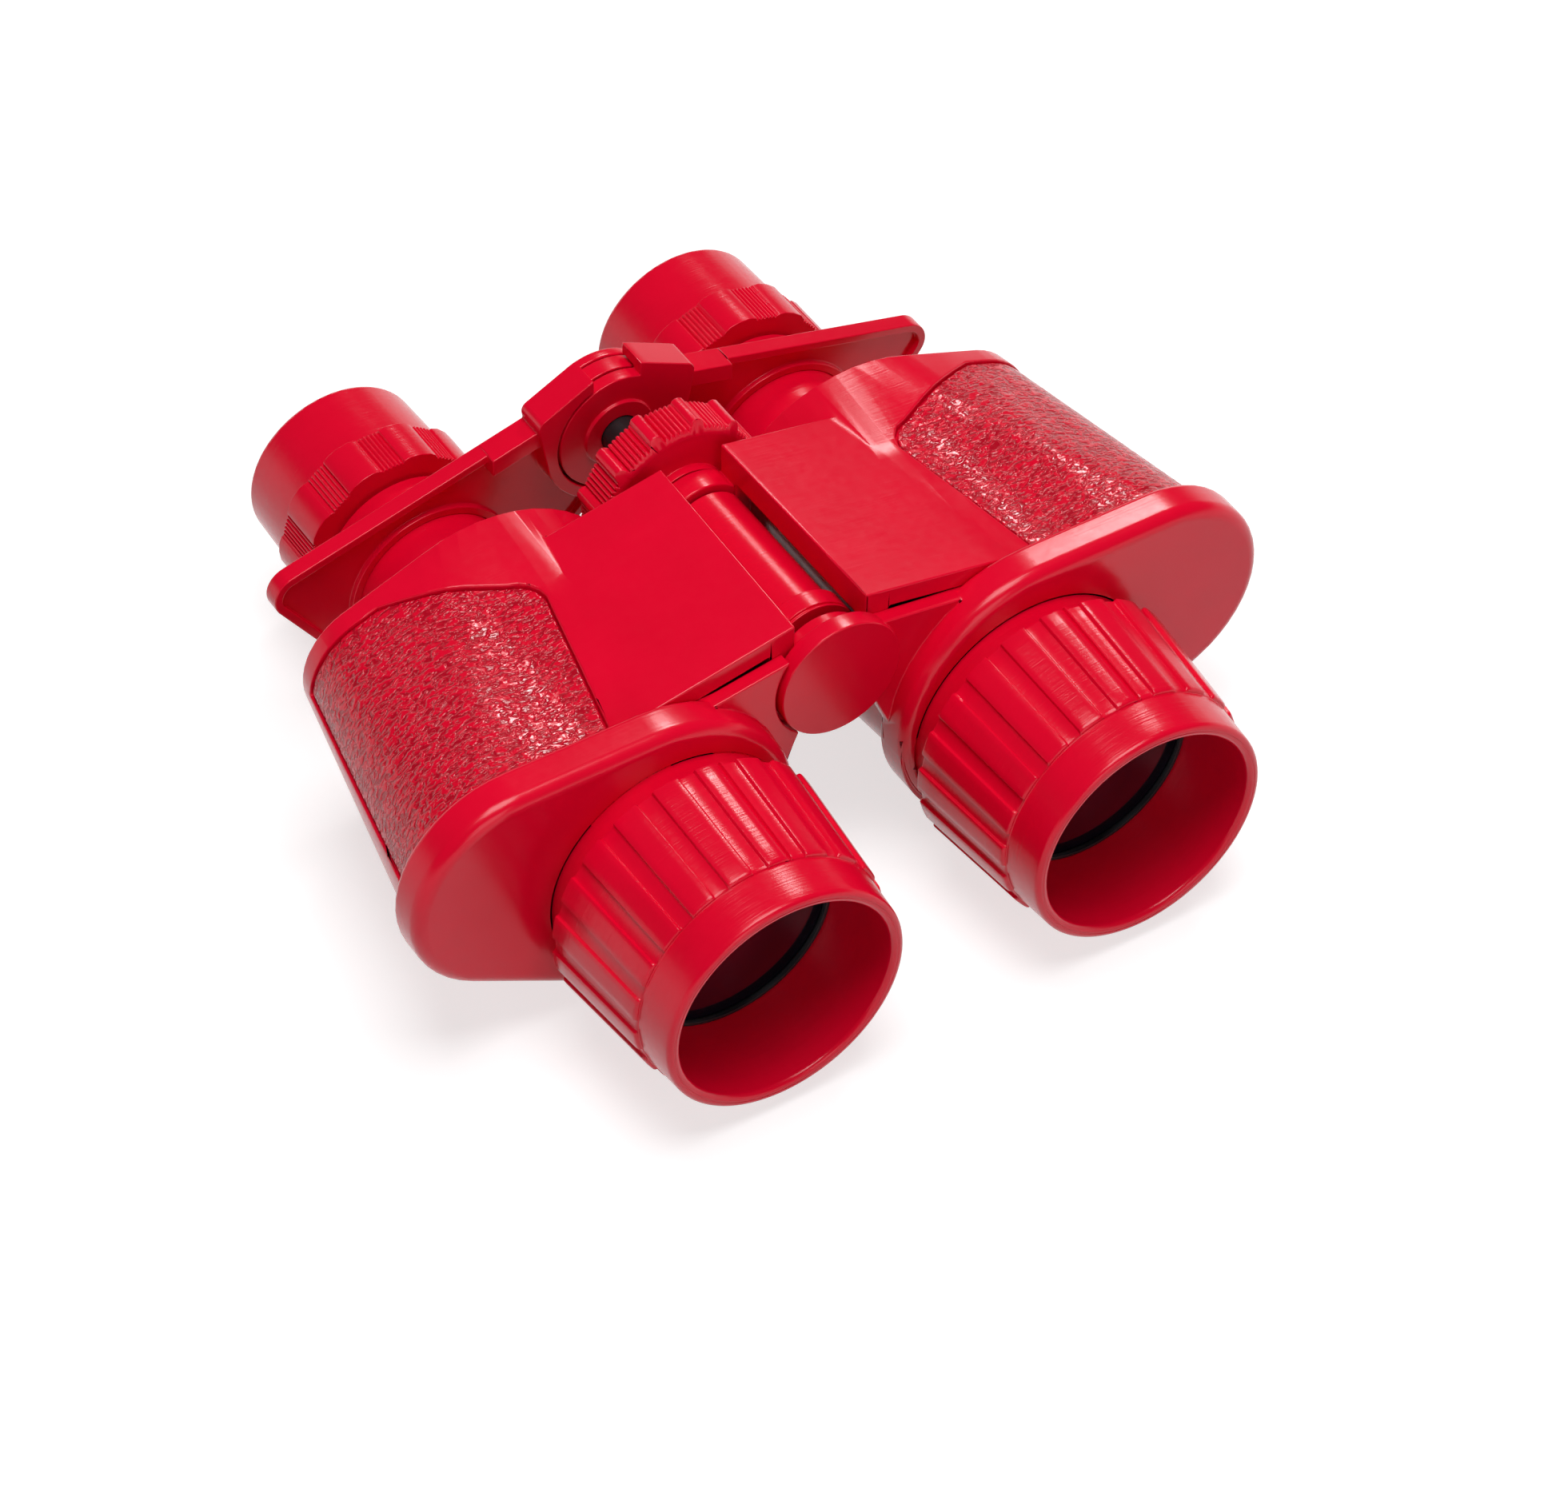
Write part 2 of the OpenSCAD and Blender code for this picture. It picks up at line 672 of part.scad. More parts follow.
// Ribbed hood with its neck, front ring and stepped bore
module hood(rib_turn) {
    lip_out = arc_points([hood_rim_r - hood_lip_r, hood_lip_r], hood_lip_r, 0, -90, 6);
    lip_in = arc_points([hood_mouth_r + hood_lip_r, hood_lip_r], hood_lip_r, -90, -180, 6);
    ring_y = rib_front_y + pass_clear;
    lip_back_y = rim_y + 2 * hood_lip_r;
    difference() {
        union() {
            rod(hood_neck_r, rib_back_y - cut, -cut, eye_at);
            translate([eye_at.x, rib_back_y, eye_at.y])
                rotate([90, 0, 0])
                    linear_extrude(rib_run, scale = rib_front_r / rib_back_r)
                        polygon(rib_points(rib_back_r, rib_turn));
            turned(concat([[barrel_r - cut, ring_y], [hood_ring_r, ring_y]],
                [for (p = concat(lip_out, lip_in)) [p.x, rim_y + p.y]],
                [[hood_mouth_r, lip_back_y], [barrel_r - cut, lip_back_y]]), eye_at);
        }
        rod(hood_mouth_r, rim_y + hood_lip_r, rim_y + hood_mouth_len, eye_at);
        taper(hood_mouth_r, lens_seat_r, rim_y + hood_mouth_len, lens_ring_y, eye_at);
        rod(lens_seat_r, lens_ring_y, objective_y + objective_edge, eye_at);
        rod(barrel_r, lens_ring_y, cut, eye_at);
        rod(lens_seat_r, face_y, cut, eye_at);
    }
}

module right_hood()
    color(red)
        hood(right_rib_turn);

module left_hood()
    color(red)
        on_left()
            hood(-left_rib_turn);

// Lens with two crowned faces inside a flat rim, from its edge's front station
module lens(r, edge, crown, y0) {
    crown_r = r - lens_lip - 2 * seat_clear;
    bow_r = (crown_r * crown_r + crown * crown) / (2 * crown);
    bow_angle = asin(crown_r / bow_r);
    front = arc_points([0, y0 - crown + bow_r], bow_r, -90, -90 + bow_angle, 8);
    back = arc_points([0, y0 + edge + crown - bow_r], bow_r, 90 - bow_angle, 90, 8);
    turned(concat(front, [[r, y0], [r, y0 + edge]], back), eye_at);
}

module right_objective()
    color(lens_tint)
        lens(objective_r, objective_edge, objective_crown, objective_y);

module left_objective()
    color(lens_tint)
        on_left()
            lens(objective_r, objective_edge, objective_crown, objective_y);

// Black ring that holds the objective lens against its lip
module lens_ring()
    turned([[barrel_r, lens_ring_y], [objective_r, lens_ring_y], [objective_r, objective_y],
        [barrel_r + lens_lip / 2, objective_y]], eye_at);

module right_lens_ring()
    color(black)
        lens_ring();

module left_lens_ring()
    color(black)
        on_left()
            lens_ring();

// Black inner barrel: a flange in the hood's neck and a tube that narrows towards the eyepiece
module inner_barrel() {
    turned([[barrel_r - barrel_wall, face_y], [lens_seat_r - seat_clear, face_y],
        [lens_seat_r - seat_clear, barrel_flange_y], [barrel_r, barrel_flange_y],
        [barrel_back_r, barrel_back_y], [barrel_back_r - barrel_wall, barrel_back_y]], eye_at);
}

module right_barrel()
    color(black)
        inner_barrel();

module left_barrel()
    color(black)
        on_left()
            inner_barrel();

module hinge_axle()
    color(black)
        rod(axle_r, -plate_t, wheel_y + wheel_w / 2, hinge_at);

module hinge_tube()
    color(red)
        difference() {
            union() {
                rod(tube_r, tube_front_y, tube_back_y, hinge_at);
                difference() {
                    rod(collar_r, tube_front_y, collar_back_y, hinge_at);
                    difference() {
                        rod(collar_r + cut, groove_y, groove_y + collar_groove, hinge_at);
                        rod(collar_r - collar_groove, tube_front_y, collar_back_y, hinge_at);
                    }
                }
            }
            rod(hinge_bore_r, tube_front_y - cut, tube_back_y + cut, hinge_at);
        }

// Scalloped and grooved wheel that turns on the end of the hinge axle
module focus_wheel()
    color(red)
        difference() {
            union() {
                rod(collar_r - collar_groove, wheel_boss_y, wheel_y + cut, hinge_at);
                intersection() {
                    along_y(wheel_y, wheel_back_y)
                        translate(hinge_at)
                            polygon(knurl_points(wheel_r, wheel_lobes, wheel_lobe_h, wheel_groove_share,
                                wheel_turn));
                    turned([[0, wheel_y], [wheel_r - wheel_lobe_h - wheel_bevel, wheel_y],
                        [wheel_r, wheel_y + wheel_bevel], [wheel_r, wheel_back_y],
                        [0, wheel_back_y]], hinge_at);
                }
            }
            rod(hinge_bore_r, wheel_boss_y - cut, wheel_y + wheel_w / 2 + pass_clear, hinge_at);
            rod(screw_r, wheel_y + wheel_w / 2 + 2 * pass_clear, wheel_back_y + cut, hinge_at);
        }

module focus_screw()
    color(black)
        rod(screw_r, wheel_y + wheel_w / 2 + 2 * pass_clear, screw_end_y, hinge_at);

// Outline of an arm from the hinge to its tip, set in by an inset, with room for the other arm below the hub
module arm_outline(inset) {
    room_at = hinge_at + [inset / cos(arm_part_angle), 0];
    reach = 2 * arm_eye_r;
    difference() {
        union() {
            lobes(hinge_at, arm_root_r - inset, eye_at, arm_eye_r - inset);
            lobes(eye_at, arm_eye_r - inset, tip_at, arm_tip_r - inset);
            lobes(hinge_at, arm_root_r - inset, tip_at, arm_tip_r - inset);
            polygon([hinge_at, tip_at, eye_at]);
        }
        polygon([room_at, room_at + reach * turn(270 + arm_part_angle), room_at - [reach, reach],
            room_at - [reach, 0]]);
    }
}

// Section of the root: a round back that runs into a bar along the arm's top
module root_section() {
    intersection() {
        lobes(hinge_at, root_r, hinge_at + [root_reach, root_end_up], root_end_r);
        translate([root_gap, hinge_rise - root_r - cut])
            square([root_reach + root_end_r, 2 * (root_r + cut)]);
    }
}

// Section of the stop bar under the arm's top edge
module bar_section() {
    edge = tangent_corners(hinge_at, arm_root_r, tip_at, arm_tip_r);
    from = edge[0] + (edge[1] - edge[0]) * bar_shares[0];
    to = edge[0] + (edge[1] - edge[0]) * bar_shares[1];
    polygon([from, to, to - [0, bar_h], from - [0, bar_h]]);
}

// Arm's plate with its sunk panel, its root, its stop bar and its eyepiece bore
module arm_plate() {
    difference() {
        union() {
            difference() {
                along_y(arm_y, arm_back_y)
                    arm_outline(0);
                difference() {
                    along_y(arm_y - cut, arm_y + arm_panel_depth)
                        arm_outline(arm_rim);
                    rod(eye_tube_r + arm_rim, arm_y - 2 * cut, arm_back_y, eye_at);
                }
            }
            along_y(hub_y, arm_back_y)
                root_section();
            along_y(arm_y - bar_depth, arm_back_y)
                bar_section();
        }
        rod(eye_tube_r + seat_clear, arm_y - cut, arm_back_y + cut, eye_at);
    }
}

module right_arm()
    color(red)
        difference() {
            union() {
                difference() {
                    arm_plate();
                    rod(hub_pass_r, hub_mid_y, arm_back_y + cut, hinge_at);
                }
                rod(hub_r, hub_y, hub_mid_y, hinge_at);
                rod(hub_sleeve_r, hub_y - hub_boss_h, cap_y, hinge_at);
            }
            rod(screw_r + run_clear, hub_y - hub_boss_h - cut, cap_y + cut, hinge_at);
        }

module left_arm()
    color(red)
        on_left()
            difference() {
                union() {
                    difference() {
                        arm_plate();
                        rod(hub_pass_r, hub_y - cut, arm_y, hinge_at);
                    }
                    rod(hub_r, arm_y, arm_back_y, hinge_at);
                }
                rod(hub_sleeve_r + run_clear, arm_y - cut, arm_back_y + cut, hinge_at);
            }

// Cap that closes the hub behind the left arm's ring
module hub_cap()
    color(red)
        difference() {
            rod(hub_r, cap_y, cap_back_y, hinge_at);
            rod(screw_r + run_clear, cap_y - cut, cap_back_y - cap_wall, hinge_at);
        }

// Tube that slides in the housing's tail and carries the grip ring on its spigot
module eye_tube() {
    bore_r = eye_tube_r - eye_tube_wall - cup_wall / 2;
    front_bore_r = eye_tube_r - eye_tube_wall;
    step_y = eye_ring_y - pass_clear;
    turned([[front_bore_r, eye_tube_y], [eye_tube_r, eye_tube_y], [eye_tube_r, step_y],
        [spigot_r, step_y], [spigot_r, spigot_back_y], [bore_r, spigot_back_y],
        [bore_r, step_y], [front_bore_r, arm_back_y]], eye_at);
}

module right_eye_tube()
    color(red)
        eye_tube();

module left_eye_tube()
    color(red)
        on_left()
            eye_tube();

// Grip ring that turns on the tube's spigot
module eye_ring(ring_turn) {
    difference() {
        along_y(eye_ring_y, cup_y)
            translate(eye_at)
                polygon(knurl_points(eye_ring_r, eye_ring_lobes, eye_lobe_h, ring_groove_share, ring_turn));
        rod(spigot_r + run_clear, eye_ring_y - cut, cup_y + cut, eye_at);
    }
}

module right_eye_ring()
    color(red)
        eye_ring(right_ring_turn);

module left_eye_ring()
    color(red)
        on_left()
            eye_ring(left_ring_turn);

// Tapered cup with a floor that seats the eye lens
module eyecup() {
    inner_r = cup_back_r - cup_wall;
    lip_out = arc_points([cup_back_r - cup_lip_r, cup_back_y - cup_lip_r], cup_lip_r, 0, 90, 6);
    lip_in = arc_points([inner_r + cup_lip_r, cup_back_y - cup_lip_r], cup_lip_r, 90, 180, 6);
    lens_y = cup_y + cup_floor / 2 - eye_lens_edge / 2;
    turned(concat([[eye_lens_r - lens_lip, cup_y], [cup_front_r, cup_y]], lip_out, lip_in,
        [[inner_r, cup_floor_y], [eye_lens_r + seat_clear, cup_floor_y], [eye_lens_r + seat_clear, lens_y],
        [eye_lens_r - lens_lip, lens_y]]), eye_at);
}

module right_eyecup()
    color(red)
        eyecup();

module left_eyecup()
    color(red)
        on_left()
            eyecup();

// Flat-fronted eye lens on the cup's seat
module eye_lens() {
    lens_y = cup_y + cup_floor / 2 - eye_lens_edge / 2;
    bow_r = (eye_lens_r * eye_lens_r + eye_lens_edge * eye_lens_edge) / (2 * eye_lens_edge);
    bow_angle = asin(eye_lens_r / bow_r);
    turned(concat([[0, lens_y], [eye_lens_r, lens_y]],
        arc_points([0, lens_y + 2 * eye_lens_edge - bow_r], bow_r, 90 - bow_angle, 90, 8)), eye_at);
}

module right_eye_lens()
    color(lens_tint)
        eye_lens();

module left_eye_lens()
    color(lens_tint)
        on_left()
            eye_lens();

placed() right_shell();
placed() left_shell();
placed() right_cover();
placed() left_cover();
placed() right_grip();
placed() left_grip();
placed() right_hood();
placed() left_hood();
placed() right_objective();
placed() left_objective();
placed() right_lens_ring();
placed() left_lens_ring();
placed() right_barrel();
placed() left_barrel();
placed() hinge_axle();
placed() hinge_tube();
placed() focus_wheel();
placed() focus_screw();
placed() right_arm();
placed() left_arm();
placed() hub_cap();
placed() right_eye_tube();
placed() left_eye_tube();
placed() right_eye_ring();
placed() left_eye_ring();
placed() right_eyecup();
placed() left_eyecup();
placed() right_eye_lens();
placed() left_eye_lens();
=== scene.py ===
import json
import math

import bmesh
import bpy
from bpy.props import FloatProperty, FloatVectorProperty, IntProperty, PointerProperty
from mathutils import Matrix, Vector

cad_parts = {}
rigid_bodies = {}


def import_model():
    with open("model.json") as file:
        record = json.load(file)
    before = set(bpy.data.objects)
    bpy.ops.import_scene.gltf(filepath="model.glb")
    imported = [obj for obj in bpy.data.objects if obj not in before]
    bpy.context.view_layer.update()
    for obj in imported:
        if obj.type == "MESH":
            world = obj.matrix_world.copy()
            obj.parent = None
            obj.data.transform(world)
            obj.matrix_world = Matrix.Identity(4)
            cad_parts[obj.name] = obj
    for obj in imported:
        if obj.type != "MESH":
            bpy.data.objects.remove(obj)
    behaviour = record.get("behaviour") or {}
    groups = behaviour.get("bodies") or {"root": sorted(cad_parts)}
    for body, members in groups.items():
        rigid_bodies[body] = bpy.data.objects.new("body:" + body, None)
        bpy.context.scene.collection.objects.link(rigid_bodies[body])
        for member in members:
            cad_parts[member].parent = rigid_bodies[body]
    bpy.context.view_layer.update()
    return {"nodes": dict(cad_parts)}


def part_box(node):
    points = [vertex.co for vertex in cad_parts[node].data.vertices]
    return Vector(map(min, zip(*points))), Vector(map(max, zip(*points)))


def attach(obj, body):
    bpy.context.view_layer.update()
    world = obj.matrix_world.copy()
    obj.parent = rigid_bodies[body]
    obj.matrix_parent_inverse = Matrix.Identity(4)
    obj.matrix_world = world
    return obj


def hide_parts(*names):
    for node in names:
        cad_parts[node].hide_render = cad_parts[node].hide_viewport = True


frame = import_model()

bl_info = {
    "name": "Toy binoculars",
    "version": (1, 0, 0),
    "blender": (4, 5, 0),
    "location": "3D View > Sidebar > Binoculars",
    "description": "Moulded pieces, finishes and studio of a pair of toy binoculars",
    "category": "Object",
}

MM = 0.001
SIDES = {"right": 1, "left": -1}
WHITE = (1, 1, 1, 1)
# Stretch of a pattern on Object coordinates: the same all ways, or as fine lines across the hinge
EVEN = (1, 1, 1)
LINED = (25, 900, 25)
# Distances and angles below which points, slivers, valleys and faces count as one
POINT_GAP = 0.002 * MM
SLIVER = 0.06 * MM
SAME_DEPTH = 0.0001 * MM
FLAT_ANGLE = math.radians(0.6)
# Edges sharper than this are rounded, and then smoothed up to the next
SHARP_ANGLE = math.radians(32)
SMOOTH_ANGLE = math.radians(35)


def length(name, default, description):
    return FloatProperty(name=name, description=description, default=default * MM, precision=5, unit="LENGTH")


def angle(name, default, description):
    return FloatProperty(name=name, description=description, default=math.radians(default), subtype="ANGLE")


def number(name, default, description, unit="NONE"):
    return FloatProperty(name=name, description=description, default=default, unit=unit)


def count(name, default, description):
    return IntProperty(name=name, description=description, default=default, min=4, max=200)


def spot(name, default, description):
    return FloatVectorProperty(name=name, description=description, default=default, size=3, precision=5,
                               subtype="TRANSLATION", unit="LENGTH")


def colour(name, default, description):
    return FloatVectorProperty(name=name, description=description, default=default, size=3, min=0, max=1,
                               subtype="COLOR")


class LayoutSizes(bpy.types.PropertyGroup):
    axis_x: length("Axis distance", 32, "Distance of an optical axis from the hinge plane")
    axis_z: length("Axis height", 23.3, "Height of the optical axes above the floor")
    front_y: length("Wing front", -28, "Place of the wings' front edge along the hinge")


class HoodSizes(bpy.types.PropertyGroup):
    rim_y: length("Rim", -39.4, "Place of the rim in front of the wings")
    rib_front_y: length("Ribs' front", -32, "Place of the ribs' front end")
    rib_back_y: length("Ribs' back", -11.6, "Place of the ribs' back end")
    neck_back_y: length("Neck's back", -1, "Place of the neck's back end inside the band")
    seat_y: length("Lens seat", -24.4, "Place of the seat of the lens")
    seat_len: length("Seat length", 3.2, "Length of the seat of the lens")
    mouth_len: length("Mouth length", 6, "Length of the even part of the mouth")
    rim_r: length("Rim radius", 20.3, "Outer radius of the rim")
    lip_r: length("Lip radius", 0.9, "Rounding of the rim on both sides")
    ring_r: length("Ring radius", 20.8, "Radius of the smooth ring at the ribs")
    mouth_r: length("Mouth radius", 18.1, "Inner radius of the mouth")
    seat_r: length("Seat radius", 17.23, "Inner radius at the lens")
    bore_r: length("Bore radius", 16.53, "Inner radius behind the lens")
    neck_r: length("Neck radius", 20.4, "Radius of the neck")
    rib_front_r: length("Ribs' front radius", 21.5, "Radius over the ribs at the front")
    rib_back_r: length("Ribs' back radius", 23.3, "Radius over the ribs at the back")
    rib_depth: length("Rib depth", 0.6, "Depth of the valleys between the ribs")
    ribs: count("Ribs", 20, "Number of ribs round a hood")
    right_turn: angle("Right turn", 0.3, "Turn of the right hood's ribs")
    left_turn: angle("Left turn", -8.2, "Turn of the left hood's ribs")


class LensSizes(bpy.types.PropertyGroup):
    crown: length("Crown", 1.6, "Height of an objective's crown on both faces")
    inset: length("Inset", 1.2, "Distance of an objective's edge behind the seat's front")
    edge: length("Edge", 2.0, "Thickness of an objective at its edge")
    ledge: length("Ledge", 0.79, "Width of the flat ring round an objective's crown, with its play")
    play: length("Play", 0.03, "Gap between an objective and its seat")
    eye_r: length("Eye lens radius", 10, "Radius of an eye lens")
    eye_y: length("Eye lens place", 83.3, "Place of an eye lens's flat face behind the wings' front")
    eye_edge: length("Eye lens edge", 1.6, "Thickness of an eye lens at its edge, and its crown's height")
    eye_round: length("Eye lens rounding", 0.2, "Rounding of an eye lens's flat face")
    pole_r: length("Pole radius", 0.02, "Radius of the smallest ring of a face")
    rings: count("Rings", 14, "Number of rings of an objective's face")
    eye_rings: count("Eye lens rings", 12, "Number of rings of an eye lens's face")
    points: count("Points", 96, "Number of points round a lens")


class CrownSizes(bpy.types.PropertyGroup):
    depth: length("Depth", 46, "Length of a housing behind its cover")
    barrel_x: length("Barrel", 33.8, "Distance of the barrel's middle from the hinge plane")
    barrel_z: length("Barrel height", 2.05, "Height of the barrel's middle over the optical axes")
    front_r: length("Front radius", 22.5, "Radius of the barrel behind the cover")
    tail_r: length("Tail radius", 25.4, "Radius of the barrel at the tail")
    wing_top: length("Wing top", 30, "Height of the wing's inner edge over the optical axes")
    wing_x: length("Wing edge", 5.3, "Distance of the wing's inner edge from the hinge plane")
    wing_slope: angle("Wing slope", 11, "Fall of the wing's top towards the side")
    blend: length("Blend", 4, "Height over which the wing's top and the barrel's side run together")
    blend_from: length("Blend start", 30, "Distance from the hinge plane where the blend begins")
    blend_full: length("Blend end", 40, "Distance from the hinge plane where the blend is full")
    low_z: length("Lowest point", 12, "Height over the optical axes below which nothing is let down")
    fade_front: length("Fade front", 26, "Place along the housing where the crown begins to rise")
    fade_back: length("Fade back", 47, "Place along the housing where the crown has its full height")
    cut_depth: length("Cut depth", 31, "Part of the housing's length that is cut across")
    cross_cuts: count("Cross cuts", 8, "Number of cuts across the housing")
    long_cuts: count("Long cuts", 40, "Number of strips that the housing is cut into along its length")


class EdgeSizes(bpy.types.PropertyGroup):
    housing_edge: length("Housing edge", 0.3, "Rounding of the housings' edges")
    cover_edge: length("Cover edge", 0.25, "Rounding of the covers' edges")
    arm_edge: length("Arm edge", 0.2, "Rounding of the arms' edges")
    hub_edge: length("Hub edge", 0.3, "Rounding of the hub's cap")
    fine_edge: length("Fine edge", 0.15, "Rounding of the small turned pieces")
    knurl_edge: length("Knurl edge", 0.12, "Rounding of the focusing wheel's grooves")


class GripSizes(bpy.types.PropertyGroup):
    grain_size: length("Grain size", 0.7, "Width of a wrinkle of the grain")
    grain_depth: length("Grain depth", 0.10, "Height of the grain")
    fineness: length("Fineness", 0.26, "Spacing of the points of a panel")


class FinishColours(bpy.types.PropertyGroup):
    red: colour("Red", (0.82, 0.001, 0.028), "Colour of the moulded plastic")
    red_deep: colour("Deep red", (0.72, 0.001, 0.022), "Colour of the plastic where it is thickest")
    grip: colour("Grip", (0.74, 0.001, 0.024), "Colour of the grained panels")
    # Painted shade: a darker red that stands in for the shade in the creases of the grain
    grip_crease_painted_shade: colour("Grip crease", (0.44, 0.001, 0.014), "Colour in the creases of the grained panels")
    black: colour("Black", (0.012, 0.012, 0.014), "Colour of the black plastic")
    glass: colour("Glass", (0.010, 0.006, 0.014), "Body colour of the coated lenses")
    glass_deep: colour("Deep glass", (0.003, 0.002, 0.005), "Body colour of the lenses where it is darkest")
    glass_sheen: colour("Glass sheen", (0.82, 0.88, 1.0), "Tint of the light that the lenses throw back")


class StageSizes(bpy.types.PropertyGroup):
    floor_size: number("Floor", 6.0, "Side of the floor", "LENGTH")
    floor_shade: number("Floor shade", 0.50, "Grey of the floor that lights the object from below")
    near: number("Near floor", 0.16, "Distance up to which the floor shows the object's shadow", "LENGTH")
    far: number("Far floor", 0.80, "Distance from which the floor is white", "LENGTH")
    near_lift: number("Near lift", 0.68, "Brightness added to the floor near the object")
    far_lift: number("Far lift", 1.0, "Brightness added to the floor far from the object")
    room_level: number("Room light", 0.06, "Level of the room's light from above")
    horizon_level: number("Horizon light", 1.0, "Level of the room's light from the horizon")
    horizon_low: number("Horizon's start", 0.05, "Upward share of a direction where the horizon fades")
    horizon_high: number("Horizon's end", 0.30, "Upward share of a direction where the horizon has faded")
    top_power: number("Top light", 9.0, "Power of the large soft light overhead")
    top_size: number("Top light size", 0.60, "Side of the light overhead", "LENGTH")
    top_spot: spot("Top light place", (-0.05, -0.10, 1.10), "Place of the light overhead")
    key_power: number("Key light", 2.8, "Power of the smaller soft light behind on the right")
    key_size: number("Key light size", 0.20, "Side of the light behind", "LENGTH")
    key_spot: spot("Key light place", (0.61, 0.60, 0.84), "Place of the light behind")
    front_power: number("Front light", 1.6, "Power of the soft light that reaches into the hoods")
    front_size: number("Front light size", 0.50, "Side of the light in front", "LENGTH")
    front_spot: spot("Front light place", (-0.15, -1.00, 0.50), "Place of the light in front")
    aim: spot("Aim", (0, 0, 0.02), "Point that the lights are turned to")
    focal: number("Focal length", 125.39, "Focal length of the camera in millimetres")
    camera_spot: spot("Camera place", (-0.32406749, -0.50602906, 0.61306051), "Place of the camera")
    camera_turn: FloatVectorProperty(
        name="Camera turn", description="Turn of the camera about the three axes", size=3, subtype="EULER",
        default=[math.radians(turn) for turn in (44.4068, -1.0004, -32.4786)])


def node_of(owner, kind, **settings):
    """New node in the tree of a material or world."""
    made = owner.node_tree.nodes.new(kind)
    for name, value in settings.items():
        setattr(made, name, value)
    return made


def join_sockets(owner, source, target):
    owner.node_tree.links.new(source, target)


def wire(owner, node, sources):
    """Links each named input of a node to its source."""
    for name, source in sources.items():
        join_sockets(owner, source, node.inputs[name])


def fill(node, values):
    """Sets each named input of a node to its value."""
    for name, value in values.items():
        node.inputs[name].default_value = value


def new_finish(name):
    material = bpy.data.materials.new(name)
    material.use_nodes = True
    shader = material.node_tree.nodes["Principled BSDF"]
    return material, shader


def noise(material, stretch, size, detail=2.0, distortion=0.0):
    """Noise on stretched Object coordinates, as a value from 0 to 1."""
    coordinates = node_of(material, "ShaderNodeTexCoord")
    mapping = node_of(material, "ShaderNodeMapping")
    fill(mapping, {"Scale": stretch})
    join_sockets(material, coordinates.outputs["Object"], mapping.inputs["Vector"])
    made = node_of(material, "ShaderNodeTexNoise")
    fill(made, {"Scale": size, "Detail": detail, "Distortion": distortion})
    join_sockets(material, mapping.outputs["Vector"], made.inputs["Vector"])
    return made.outputs["Fac"]


def between(material, value, low, high):
    """A value from 0 to 1 spread over a range."""
    made = node_of(material, "ShaderNodeMapRange")
    fill(made, {"To Min": low, "To Max": high})
    join_sockets(material, value, made.inputs["Value"])
    return made.outputs["Result"]


def soft_range(owner, value, start, end, low=0.0, high=1.0):
    """A value that goes softly from low to high while the given one goes from start to end."""
    made = node_of(owner, "ShaderNodeMapRange", interpolation_type="SMOOTHSTEP")
    fill(made, {"From Min": start, "From Max": end, "To Min": low, "To Max": high})
    join_sockets(owner, value, made.inputs["Value"])
    return made.outputs["Result"]


def combined(material, operation, first, second):
    """Result of a calculation with two values."""
    made = node_of(material, "ShaderNodeMath", operation=operation)
    join_sockets(material, first, made.inputs[0])
    join_sockets(material, second, made.inputs[1])
    return made.outputs[0]


def two_colours(material, value, low, high):
    """Colour between two others."""
    made = node_of(material, "ShaderNodeMix", data_type="RGBA")
    fill(made, {"A": (*low, 1), "B": (*high, 1)})
    join_sockets(material, value, made.inputs["Factor"])
    return made.outputs["Result"]


def bumped(material, height, depth, below=None):
    """Surface direction of a relief, over another relief if one is given."""
    made = node_of(material, "ShaderNodeBump")
    fill(made, {"Strength": 1.0, "Distance": depth})
    join_sockets(material, height, made.inputs["Height"])
    if below is not None:
        join_sockets(material, below, made.inputs["Normal"])
    return made.outputs["Normal"]


def moulded_red(name, line_depth):
    """Glossy red plastic with slow shade changes, a faint moulded skin and fine lines across the hinge."""
    colours = bpy.context.scene.binocular_finishes
    material, shader = new_finish(name)
    slow = noise(material, EVEN, size=90)
    rough = noise(material, EVEN, size=700, detail=3.0)
    skin = bumped(material, noise(material, EVEN, size=2600), depth=0.004 * MM)
    lines = noise(material, LINED, size=4.0, detail=4.0)
    wire(material, shader, {
        "Base Color": two_colours(material, slow, colours.red_deep, colours.red),
        "Roughness": between(material, rough, low=0.15, high=0.26),
        "Normal": bumped(material, lines, depth=line_depth, below=skin),
    })
    fill(shader, {"IOR": 1.5, "Specular IOR Level": 0.32})
    return material


def grained_red():
    """Red plastic moulded with a leather grain of short glossy wrinkles that run across the panel, and
    painted shade that darkens the grain's creases.
    """
    colours = bpy.context.scene.binocular_finishes
    material, shader = new_finish("grip_plastic")
    grain = noise(material, stretch=(0.72, 1.35, 0.9), size=1000, detail=1.5, distortion=0.8)
    height = soft_range(material, grain, start=0.34, end=0.62)
    rough = noise(material, EVEN, size=1500)
    wire(material, shader, {
        # The grain's low parts take the darker red: painted shade in the creases, over the real relief of the
        # bump
        "Base Color": two_colours(material, height, colours.grip_crease_painted_shade, colours.grip),
        "Roughness": between(material, rough, low=0.10, high=0.24),
        "Normal": bumped(material, height, depth=0.16 * MM),
    })
    fill(shader, {"Specular IOR Level": 0.42})
    return material


def satin_black():
    """Black plastic with a satin skin and fine lines across the hinge."""
    colours = bpy.context.scene.binocular_finishes
    material, shader = new_finish("black_plastic")
    rough = noise(material, EVEN, size=800)
    lines = noise(material, LINED, size=4.0)
    wire(material, shader, {
        "Roughness": between(material, rough, low=0.28, high=0.45),
        "Normal": bumped(material, lines, depth=0.02 * MM),
    })
    fill(shader, {"Base Color": (*colours.black, 1)})
    return material


